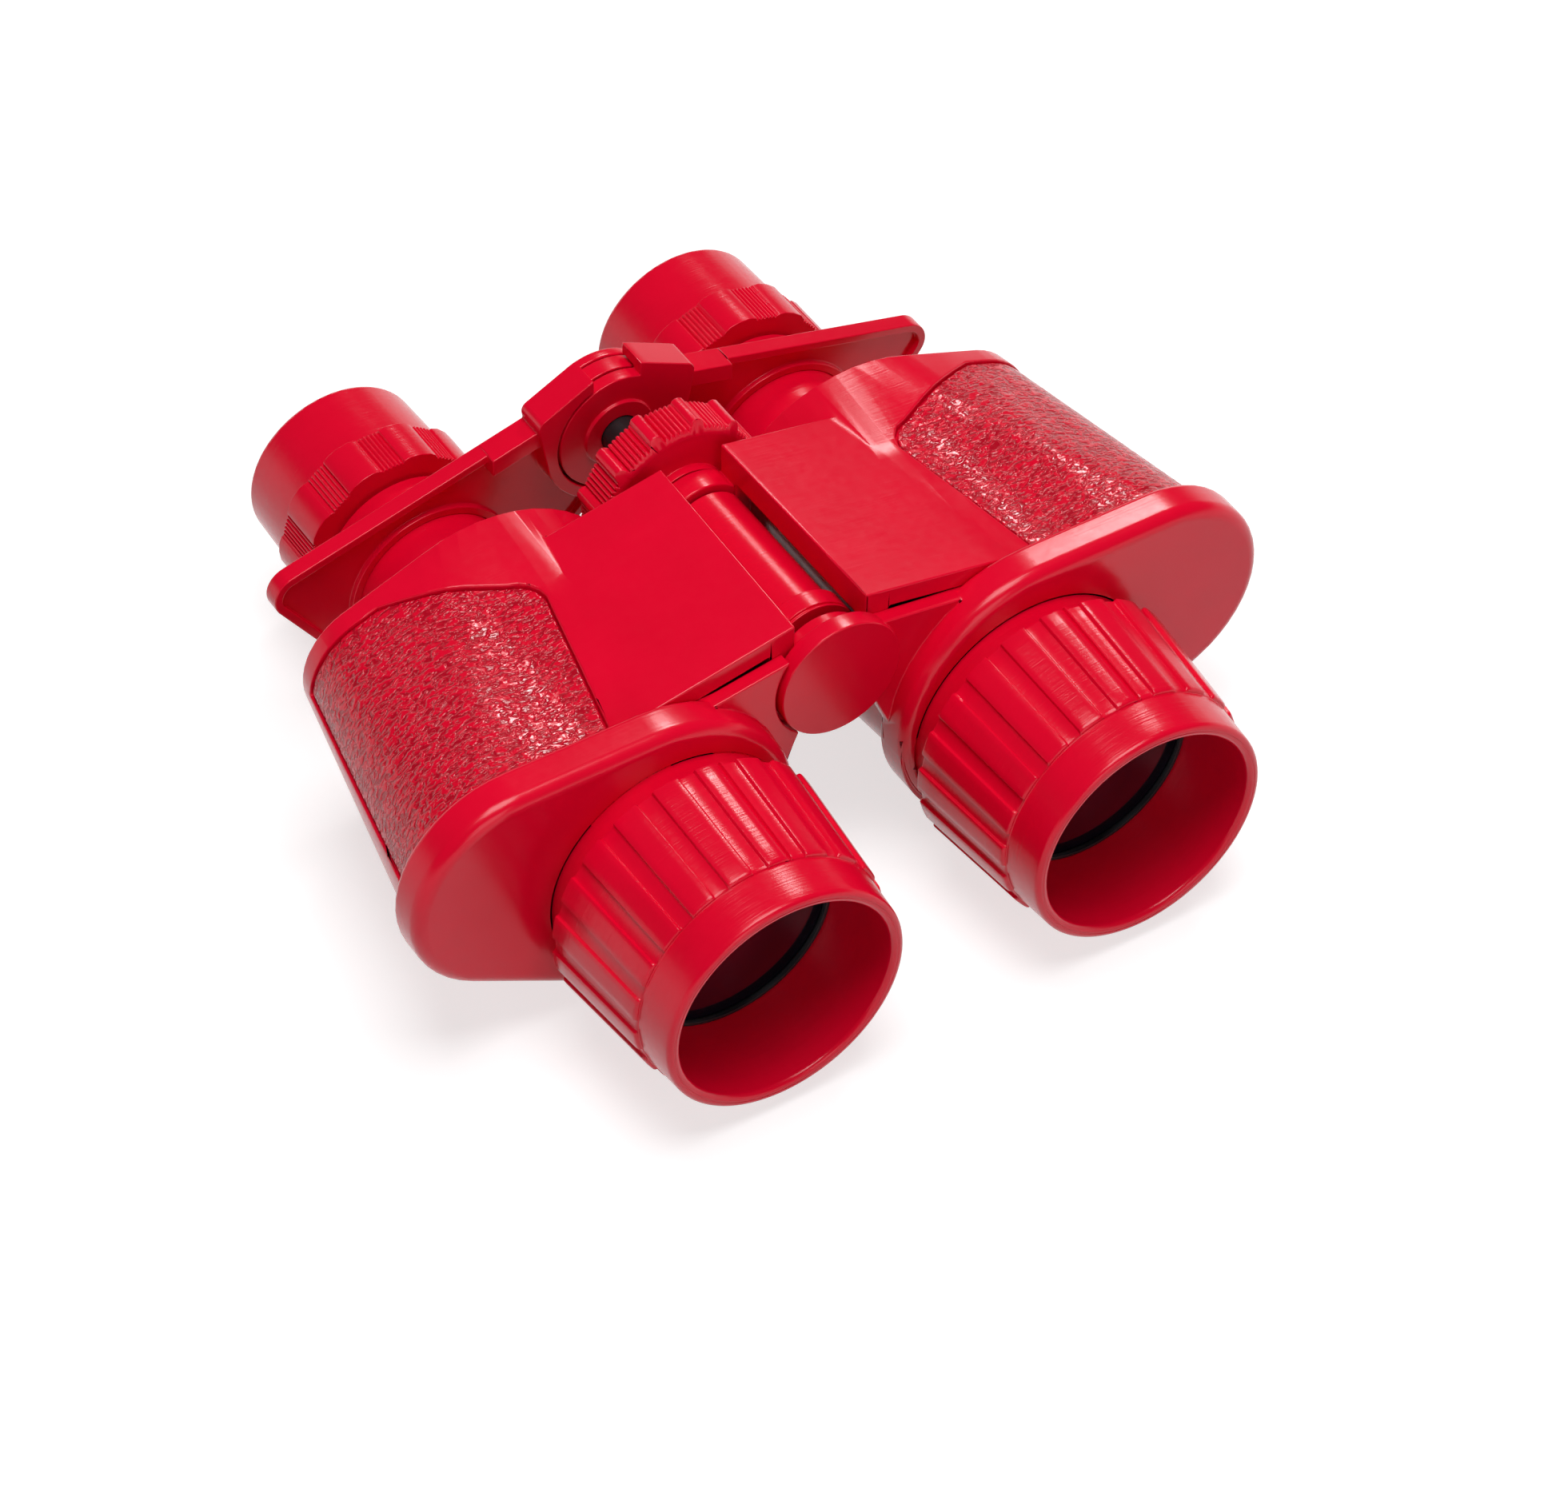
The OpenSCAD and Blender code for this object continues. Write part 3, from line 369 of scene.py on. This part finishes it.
def dark_glass():
    """Coated lens: a dark, slightly violet body under a clear glossy face."""
    colours = bpy.context.scene.binocular_finishes
    material, shader = new_finish("lens")
    slow = noise(material, EVEN, size=60)
    rough = noise(material, EVEN, size=400)
    wire(material, shader, {
        "Base Color": two_colours(material, slow, colours.glass_deep, colours.glass),
        "Roughness": between(material, rough, low=0.10, high=0.16),
    })
    fill(shader, {"IOR": 1.8, "Specular Tint": (*colours.glass_sheen, 1)})
    fill(shader, {"Coat Weight": 1.0, "Coat Roughness": 0.05})
    return material


FINISH_MAKERS = {
    "red_plastic": lambda: moulded_red("red_plastic", line_depth=0.015 * MM),
    "turned_red": lambda: moulded_red("turned_red", line_depth=0.03 * MM),
    "grip_plastic": grained_red,
    "black_plastic": satin_black,
    "lens": dark_glass,
}


def finish(piece, name):
    """Gives a piece its finish, made once."""
    material = bpy.data.materials.get("fin_" + name)
    if material is None:
        material = FINISH_MAKERS[name]()
        material.name = "fin_" + name
    piece.data.materials.clear()
    piece.data.materials.append(material)


def mix(low, high, share):
    return low + (high - low) * share


def eased(share):
    """Soft step from 0 to 1."""
    share = min(max(share, 0), 1)
    return share * share * (3 - 2 * share)


def place(x, y, z):
    """Point given from the optical axes' height and the wings' front, in the object's frame."""
    layout = bpy.context.scene.binocular_layout
    return Vector((x, y + layout.front_y, z + layout.axis_z))


def start_piece(name):
    """Empty mesh in edit mode, with nothing else selected."""
    bpy.ops.object.select_all(action="DESELECT")
    bpy.ops.mesh.primitive_plane_add(size=MM)
    piece = bpy.context.active_object
    piece.name = name
    piece.data.name = name
    bpy.ops.object.mode_set(mode="EDIT")
    bpy.ops.mesh.delete(type="VERT")
    return piece


def pick(piece, test):
    """Selects the points whose number passes a test."""
    bpy.ops.mesh.select_all(action="DESELECT")
    shape = bmesh.from_edit_mesh(piece.data)
    for index, point in enumerate(shape.verts):
        if test(index):
            point.select_set(True)
    shape.select_flush(True)
    bmesh.update_edit_mesh(piece.data)


def draw_loop(piece, points):
    """Draws a closed line, one extruded point after the other."""
    first = len(bmesh.from_edit_mesh(piece.data).verts)
    last = first + len(points) - 1
    bpy.ops.mesh.select_all(action="DESELECT")
    bpy.ops.mesh.primitive_plane_add(size=MM, location=points[0])
    bpy.ops.mesh.merge(type="CENTER")
    for before, after in zip(points, points[1:]):
        bpy.ops.mesh.extrude_region_move(TRANSFORM_OT_translate={"value": after - before})
    pick(piece, lambda index: index in (first, last))
    bpy.ops.mesh.edge_face_add()


def close_piece(piece, ring_points, rings, smooth):
    """Joins the last ring to the first, points the faces outwards and smooths all but the sharp edges."""
    last = (rings - 1) * ring_points
    pick(piece, lambda index: index < ring_points or index >= last)
    bpy.ops.mesh.bridge_edge_loops()
    bpy.ops.mesh.select_all(action="SELECT")
    bpy.ops.mesh.normals_make_consistent(inside=False)
    bpy.ops.object.mode_set(mode="OBJECT")
    bpy.ops.object.shade_smooth_by_angle(angle=math.radians(smooth))
    return piece


def turned(name, profile, x, points, smooth):
    """Extrudes and resizes a ring along a profile of (radius, y) about an optical axis."""
    piece = start_piece(name)
    spots = [(radius, place(x, y, 0)) for radius, y in profile]
    bpy.ops.mesh.primitive_circle_add(vertices=points, radius=spots[0][0], fill_type="NOTHING",
                                      location=spots[0][1], rotation=(math.radians(90), 0, 0))
    for (r0, p0), (r1, p1) in zip(spots, spots[1:]):
        bpy.ops.mesh.extrude_region_move(TRANSFORM_OT_translate={"value": p1 - p0})
        bpy.ops.transform.resize(value=(r1 / r0, 1, r1 / r0), center_override=p1)
    return close_piece(piece, points, len(profile), smooth)


def shaped(name, ring, stations, x, drops, smooth=40):
    """Extrudes a drawn ring through stations of (y, radius, depth) about an optical axis.

    Each point lies its own share of the depth lower, by the list of drops.
    """
    piece = start_piece(name)
    draw_loop(piece, ring)
    bpy.ops.mesh.select_linked()
    ring_points = len(ring)
    for k, ((y0, r0, d0), (y1, r1, d1)) in enumerate(zip(stations, stations[1:])):
        middle = place(x, y1, 0)
        bpy.ops.mesh.extrude_region_move(TRANSFORM_OT_translate={"value": (0, y1 - y0, 0)})
        bpy.ops.transform.resize(value=(r1 / r0, 1, r1 / r0), center_override=middle)
        first = (k + 1) * ring_points
        had = d0 * r1 / r0
        if abs(d1 - had) < SAME_DEPTH:
            continue
        for drop in sorted(set(drops) - {0.0}):
            pick(piece, lambda index: index >= first and drops[(index - first) % len(drops)] == drop)
            share = (r1 - drop * d1) / (r1 - drop * had)
            bpy.ops.transform.resize(value=(share, 1, share), center_override=middle)
        pick(piece, lambda index: index >= first)
    return close_piece(piece, ring_points, len(stations), smooth)


def apply_modifier(piece, kind, **settings):
    bpy.ops.object.select_all(action="DESELECT")
    piece.select_set(True)
    bpy.context.view_layer.objects.active = piece
    bpy.ops.object.modifier_add(type=kind)
    modifier = piece.modifiers[-1]
    for name, value in settings.items():
        setattr(modifier, name, value)
    bpy.ops.object.modifier_apply(modifier=modifier.name)


def merged_copy(node, name):
    """Copy of a solid with its own mesh, its loose triangles merged and its flat faces made whole."""
    bpy.ops.object.select_all(action="DESELECT")
    solid = frame["nodes"][node]
    solid.select_set(True)
    bpy.context.view_layer.objects.active = solid
    bpy.ops.object.duplicate()
    piece = bpy.context.active_object
    for key in list(piece.keys()):
        del piece[key]
    piece.name = name
    piece.data.name = name
    bpy.ops.object.mode_set(mode="EDIT")
    bpy.ops.mesh.select_all(action="SELECT")
    bpy.ops.mesh.remove_doubles(threshold=POINT_GAP)
    bpy.ops.mesh.dissolve_limited(angle_limit=FLAT_ANGLE)
    bpy.ops.object.mode_set(mode="OBJECT")
    return piece


def crown_drop(point):
    """Depth by which the barrel's crown is let down to the wing's top, which fades out towards the tail."""
    sizes, layout = bpy.context.scene.binocular_crown, bpy.context.scene.binocular_layout
    x, y, z = abs(point.x), point.y - layout.front_y, point.z - layout.axis_z
    radius = mix(sizes.front_r, sizes.tail_r, min(max(y / sizes.depth, 0), 1))
    reach = radius ** 2 - (x - sizes.barrel_x) ** 2
    if z < sizes.low_z or reach <= 0:
        return 0.0
    wing = sizes.wing_top - (x - sizes.wing_x) * math.tan(sizes.wing_slope)
    rise = sizes.barrel_z + math.sqrt(reach) - wing
    blend = sizes.blend * eased((x - sizes.blend_from) / (sizes.blend_full - sizes.blend_from))
    if abs(rise) < blend:
        share = 0.5 + 0.5 * rise / blend
        rise = rise * share + blend * share * (1 - share)
    return max(rise, 0) * eased((sizes.fade_back - y) / (sizes.fade_back - sizes.fade_front))


def let_crown_down(piece):
    """Moves the points of a housing or its panel down with the barrel's crown."""
    bpy.ops.object.mode_set(mode="EDIT")
    shape = bmesh.from_edit_mesh(piece.data)
    for point in shape.verts:
        point.co.z -= crown_drop(point.co)
    bmesh.update_edit_mesh(piece.data)
    bpy.ops.object.mode_set(mode="OBJECT")


def cut_across(axis, spots):
    """Cuts all faces of the active piece by planes square to an axis, so that it can take a curve."""
    bpy.ops.object.mode_set(mode="EDIT")
    for along in spots:
        bpy.ops.mesh.select_all(action="SELECT")
        bpy.ops.mesh.bisect(plane_co=Vector(axis) * along, plane_no=axis)
    bpy.ops.mesh.select_all(action="SELECT")
    bpy.ops.mesh.remove_doubles(threshold=SLIVER)
    bpy.ops.object.mode_set(mode="OBJECT")


def lower_housing(piece, node):
    """Cuts a housing's copy into strips and lets its crown down."""
    sizes = bpy.context.scene.binocular_crown
    front = bpy.context.scene.binocular_layout.front_y
    low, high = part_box(node)
    cross, strips = sizes.cross_cuts, sizes.long_cuts
    cut_across((0, 1, 0), [front + sizes.cut_depth * k / cross for k in range(1, cross + 1)])
    cut_across((1, 0, 0), [mix(low[0], high[0], k / strips) for k in range(1, strips)])
    let_crown_down(piece)


def softened(node, name, width):
    """Copy of a solid with its sharp edges rounded, and a housing with its crown let down."""
    piece = merged_copy(node, name)
    if node.endswith("_shell"):
        lower_housing(piece, node)
    apply_modifier(piece, "BEVEL", width=width, segments=2, limit_method="ANGLE", angle_limit=SHARP_ANGLE,
                   use_clamp_overlap=False, miter_outer="MITER_ARC")
    bpy.ops.object.shade_smooth_by_angle(angle=SMOOTH_ANGLE)
    apply_modifier(piece, "WEIGHTED_NORMAL", keep_sharp=True, weight=50)
    return piece


def stand_in(piece, body, slot, *nodes):
    """Sets a finished piece in the place of solids."""
    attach(piece, body)
    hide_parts(*nodes)


class Hoods(bpy.types.Operator):
    """Ribbed objective hoods with a smooth ring, a rounded lip and a stepped bore"""
    bl_idname = "binoculars.hoods"
    bl_label = "Hoods"
    # Points of a rib and its valley as (degrees from the rib's middle, share of the depth), for a pitch
    RIB_PITCH = 18
    RIB_SHAPE = ((-6.35, 1.0), (-5.85, 0.88), (-5.3, 0.12), (-4.9, 0.0), (-2.5, 0.0), (0, 0.0), (2.5, 0.0),
                 (4.9, 0.0), (5.3, 0.12), (5.85, 0.88), (6.35, 1.0), (9, 1.0))
    # Small steps in millimetres as (along y, across), and the degrees of the lip's rounding
    NECK_STEP = ((0.5, 0.0), (0.0, 0.3))
    RIB_BACK_STEP = ((0.0, -0.35), (-0.12, -0.1), (-0.4, 0.0))
    RIB_FRONT_STEP = ((0.75, 0.0), (0.3, -0.06), (0.08, -0.2), (0.0, -0.42))
    RING_STEP = ((0.0, 0.12), (-0.12, 0.0))
    LIP_LINE = ((0.0, 0.14), (0.07, 0.07), (0.07, -0.07), (0.0, -0.14))
    SEAT_STEP = ((-0.2, 0.02), (0.0, 0.0))
    LIP_TURNS = (0, 20, 40, 60, 80, 90)
    RIB_SHARES = [k / 6 for k in range(1, 6)]
    RING_SHARES = [k / 5 for k in range(1, 5)]

    def ring(self, sizes, x, turn, y, radius):
        """Points round the neck, from the top, at the angles of the ribs' points."""
        pitch = 360 / sizes.ribs
        turns = [math.radians(90 + (rib + share / self.RIB_PITCH) * pitch) + turn
                 for rib in range(sizes.ribs) for share, _ in self.RIB_SHAPE]
        return [place(x + radius * math.cos(a), y, radius * math.sin(a)) for a in turns]

    def stations(self, s):
        """Places along y with the radius and the valleys' depth, from the neck round the lip to the seat."""

        def over_ribs(y, across=0.0):
            share = (s.rib_back_y - y) / (s.rib_back_y - s.rib_front_y)
            radius = mix(s.rib_back_r, s.rib_front_r, share)
            return (y, radius + across * MM, s.rib_depth * radius / s.rib_back_r)

        def small_steps(steps, y, radius):
            return [(y + along * MM, radius + across * MM, 0) for along, across in steps]

        def rounded(turns, radius, way):
            turns = [math.radians(turn) for turn in turns]
            return [(lip_y - s.lip_r * math.sin(a), radius + way * s.lip_r * math.cos(a), 0) for a in turns]

        lip_y = s.rim_y + s.lip_r
        outer, inner = s.rim_r - s.lip_r, s.mouth_r + s.lip_r
        seat_end = s.seat_y + s.seat_len
        made = [(s.neck_back_y, s.neck_r, 0)]
        made += small_steps(self.NECK_STEP, s.rib_back_y, s.neck_r)
        made += [over_ribs(s.rib_back_y + along * MM, across) for along, across in self.RIB_BACK_STEP]
        made += [over_ribs(mix(s.rib_back_y, s.rib_front_y, share)) for share in self.RIB_SHARES]
        made += [over_ribs(s.rib_front_y + along * MM, across) for along, across in self.RIB_FRONT_STEP]
        made += small_steps(self.RING_STEP, s.rib_front_y, s.ring_r)
        made += [(mix(s.rib_front_y, lip_y, share), mix(s.ring_r, s.rim_r, share), 0)
                 for share in self.RING_SHARES]
        made += rounded(self.LIP_TURNS, outer, 1)
        made += small_steps(self.LIP_LINE, s.rim_y, (outer + inner) / 2)
        made += rounded(reversed(self.LIP_TURNS), inner, -1)
        made += [(s.rim_y + s.mouth_len, s.mouth_r, 0)]
        made += small_steps(self.SEAT_STEP, s.seat_y, s.seat_r)
        made += [(seat_end, s.seat_r, 0), (seat_end, s.bore_r, 0), (s.neck_back_y, s.bore_r, 0)]
        return made

    def execute(self, context):
        sizes = context.scene.binocular_hoods
        axis_x = context.scene.binocular_layout.axis_x
        turns = {"right": sizes.right_turn, "left": sizes.left_turn}
        stations = self.stations(sizes)
        drops = [drop for _, drop in self.RIB_SHAPE]
        for side, sign in SIDES.items():
            x = sign * axis_x
            ring = self.ring(sizes, x, turns[side], *stations[0][:2])
            hood = shaped(side + "_hood_moulding", ring, stations, x, drops)
            finish(hood, "turned_red")
            stand_in(hood, side + "_half", "red_plastic", side + "_hood")
        return {"FINISHED"}


class Lenses(bpy.types.Operator):
    """Crowned objective lenses and eye lenses with polished faces"""
    bl_idname = "binoculars.lenses"
    bl_label = "Lenses"

    def objective(self, s, hood):
        """Profile of an objective as (radius, y), crowned on both faces."""
        front = hood.seat_y + s.inset
        rim_r, crown_r = hood.seat_r - s.play, hood.seat_r - s.ledge
        radii = [crown_r * (1 - k / s.rings) for k in range(s.rings + 1)]
        face = [(max(r, s.pole_r), front - s.crown * (1 - (r / crown_r) ** 2)) for r in radii]
        back = [(r, 2 * front + s.edge - y) for r, y in reversed(face)]
        return [(rim_r, front + s.edge), (rim_r, front)] + face + back

    def eye_lens(self, s):
        """Profile of an eye lens as (radius, y), flat in front and crowned behind."""
        shares = [1 - k / s.eye_rings for k in range(s.eye_rings + 1)]
        bow = [(max(s.eye_r * share, s.pole_r), s.eye_y + s.eye_edge * (2 - share ** 2)) for share in shares]
        flat = [(s.pole_r, s.eye_y), (s.eye_r - s.eye_round, s.eye_y), (s.eye_r, s.eye_y + s.eye_round)]
        return flat + bow

    def execute(self, context):
        sizes = context.scene.binocular_lenses
        objective = self.objective(sizes, context.scene.binocular_hoods)
        eye_lens = self.eye_lens(sizes)
        for side, sign in SIDES.items():
            x = sign * context.scene.binocular_layout.axis_x
            lens = turned(side + "_lens", objective, x, sizes.points, smooth=20)
            finish(lens, "lens")
            stand_in(lens, side + "_half", "lens", side + "_objective")
            lens = turned(side + "_eye_lens_glass", eye_lens, x, sizes.points, smooth=25)
            finish(lens, "lens")
            stand_in(lens, side + "_eyepiece", "lens", side + "_eye_lens")
        return {"FINISHED"}


class Mouldings(bpy.types.Operator):
    """Housings, covers, bridge, wheel and eyepieces with their moulded edges rounded"""
    bl_idname = "binoculars.mouldings"
    bl_label = "Mouldings"

    def rows(self, sizes):
        """Solid, body, width of the rounded edge, finish and slot of every moulding."""
        red, turned_red, black = "red_plastic", "turned_red", "black_plastic"
        made = [("hub_cap", "right_bridge", sizes.hub_edge, turned_red, red),
                ("hinge_tube", "left_half", sizes.fine_edge, turned_red, red),
                ("focus_wheel", "focus_drive", sizes.knurl_edge, turned_red, red)]
        for side in SIDES:
            half, bridge, eyepiece = side + "_half", side + "_bridge", side + "_eyepiece"
            made += [(side + "_shell", half, sizes.housing_edge, red, red),
                     (side + "_cover", half, sizes.cover_edge, red, red),
                     (side + "_lens_ring", half, sizes.fine_edge, black, black),
                     (side + "_arm", bridge, sizes.arm_edge, red, red),
                     (side + "_eye_tube", bridge, sizes.fine_edge, turned_red, red),
                     (side + "_eye_ring", eyepiece, sizes.fine_edge, turned_red, red),
                     (side + "_eyecup", eyepiece, sizes.fine_edge, turned_red, red)]
        return made

    def execute(self, context):
        for node, body, width, look, slot in self.rows(context.scene.binocular_edges):
            piece = softened(node, node + "_moulding", width)
            finish(piece, look)
            stand_in(piece, body, slot, node)
        return {"FINISHED"}


class Grips(bpy.types.Operator):
    """Grained panels in the housings' recesses"""
    bl_idname = "binoculars.grips"
    bl_label = "Grips"

    def execute(self, context):
        sizes = context.scene.binocular_grips
        grain = bpy.data.textures.new("grain", "CLOUDS")
        grain.noise_scale = sizes.grain_size
        grain.noise_depth = 1
        for side in SIDES:
            panel = merged_copy(side + "_grip", side + "_grip_panel")
            apply_modifier(panel, "REMESH", mode="VOXEL", voxel_size=sizes.fineness)
            apply_modifier(panel, "SMOOTH", factor=0.5, iterations=5)
            let_crown_down(panel)
            apply_modifier(panel, "DISPLACE", texture=grain, texture_coords="LOCAL",
                           strength=sizes.grain_depth, mid_level=0.7)
            bpy.ops.object.shade_smooth()
            finish(panel, "grip_plastic")
            stand_in(panel, side + "_half", "grip_plastic", side + "_grip")
        return {"FINISHED"}


class SolidFinishes(bpy.types.Operator):
    """Finishes of the inner solids that are shown as they are"""
    bl_idname = "binoculars.solids"
    bl_label = "Solids"

    def execute(self, context):
        for node in ("right_barrel", "left_barrel", "hinge_axle", "focus_screw"):
            finish(frame["nodes"][node], "black_plastic")
        return {"FINISHED"}


class StudioStage(bpy.types.Operator):
    """Pale floor, even room light, three soft lamps and the camera"""
    bl_idname = "binoculars.stage"
    bl_label = "Studio"

    def execute(self, context):
        sizes = context.scene.binocular_stage
        bpy.ops.object.select_all(action="DESELECT")
        self.add_floor(context, sizes)
        self.light_room(context, sizes)
        self.add_lamp(context, "top_light", sizes.top_spot, sizes.top_size, sizes.top_power)
        self.add_lamp(context, "key_light", sizes.key_spot, sizes.key_size, sizes.key_power)
        self.add_lamp(context, "front_light", sizes.front_spot, sizes.front_size, sizes.front_power)
        self.add_camera(context, sizes)
        context.scene.view_settings.view_transform = "Standard"
        return {"FINISHED"}

    def add_floor(self, context, sizes):
        """Floor that is white where it is seen, with the object's shadow, and grey as a source of light."""
        bpy.ops.mesh.primitive_plane_add(size=sizes.floor_size, location=(0, 0, 0))
        floor = context.active_object
        floor.name = "floor"
        paper, shader = new_finish("floor_paper")
        shade = sizes.floor_shade
        fill(shader, {"Base Color": (shade, shade, shade, 1), "Roughness": 0.9, "Specular IOR Level": 0.0})
        rays = node_of(paper, "ShaderNodeLightPath").outputs
        seen = combined(paper, "MAXIMUM", rays["Is Camera Ray"], rays["Is Glossy Ray"])
        seen = combined(paper, "MAXIMUM", seen, rays["Is Transmission Ray"])
        point = node_of(paper, "ShaderNodeTexCoord")
        away = node_of(paper, "ShaderNodeVectorMath", operation="LENGTH")
        join_sockets(paper, point.outputs["Object"], away.inputs[0])
        lift = soft_range(paper, away.outputs["Value"], sizes.near, sizes.far,
                          sizes.near_lift, sizes.far_lift)
        fill(shader, {"Emission Color": WHITE})
        wire(paper, shader, {"Emission Strength": combined(paper, "MULTIPLY", seen, lift)})
        floor.data.materials.append(paper)

    def light_room(self, context, sizes):
        """Room that is white at the horizon and dim above."""
        world = bpy.data.worlds.new("room")
        context.scene.world = world
        world.use_nodes = True
        way = node_of(world, "ShaderNodeTexCoord")
        parts = node_of(world, "ShaderNodeSeparateXYZ")
        join_sockets(world, way.outputs["Generated"], parts.inputs["Vector"])
        level = soft_range(world, parts.outputs["Z"], sizes.horizon_low, sizes.horizon_high,
                           sizes.horizon_level, sizes.room_level)
        light = world.node_tree.nodes["Background"]
        fill(light, {"Color": WHITE})
        wire(world, light, {"Strength": level})

    def add_lamp(self, context, name, at, side, power):
        bpy.ops.object.light_add(type="AREA", location=at)
        lamp = context.active_object
        lamp.name = name
        lamp.data.shape = "SQUARE"
        lamp.data.size = side
        lamp.data.energy = power
        aim = context.scene.binocular_stage.aim
        lamp.rotation_euler = (aim - lamp.location).to_track_quat("-Z", "Y").to_euler()

    def add_camera(self, context, sizes):
        bpy.ops.object.camera_add(location=sizes.camera_spot, rotation=sizes.camera_turn)
        camera = context.active_object
        camera.data.sensor_width = 36
        camera.data.sensor_fit = "HORIZONTAL"
        camera.data.lens = sizes.focal
        camera.data.clip_end = 20
        context.scene.camera = camera


class BinocularsPanel(bpy.types.Panel):
    """Sizes, colours and steps of the toy binoculars"""
    bl_idname = "VIEW3D_PT_binoculars"
    bl_label = "Toy binoculars"
    bl_space_type = "VIEW_3D"
    bl_region_type = "UI"
    bl_category = "Binoculars"

    def draw(self, context):
        for step in STEPS:
            self.layout.operator(step.bl_idname)
        for group, kind in GROUPS.items():
            box = self.layout.box()
            for name in kind.__annotations__:
                box.prop(getattr(context.scene, group), name)


STEPS = (StudioStage, SolidFinishes, Hoods, Lenses, Mouldings, Grips)
GROUPS = {
    "binocular_layout": LayoutSizes,
    "binocular_hoods": HoodSizes,
    "binocular_lenses": LensSizes,
    "binocular_crown": CrownSizes,
    "binocular_edges": EdgeSizes,
    "binocular_grips": GripSizes,
    "binocular_finishes": FinishColours,
    "binocular_stage": StageSizes,
}


def register():
    for kind in (*GROUPS.values(), *STEPS, BinocularsPanel):
        bpy.utils.register_class(kind)
    for name, kind in GROUPS.items():
        setattr(bpy.types.Scene, name, PointerProperty(type=kind))


def unregister():
    for name in GROUPS:
        delattr(bpy.types.Scene, name)
    for kind in reversed((*GROUPS.values(), *STEPS, BinocularsPanel)):
        bpy.utils.unregister_class(kind)


def main():
    register()
    bpy.ops.binoculars.stage()
    bpy.ops.binoculars.solids()
    bpy.ops.binoculars.hoods()
    bpy.ops.binoculars.lenses()
    bpy.ops.binoculars.mouldings()
    bpy.ops.binoculars.grips()


if __name__ == "__main__":
    main()
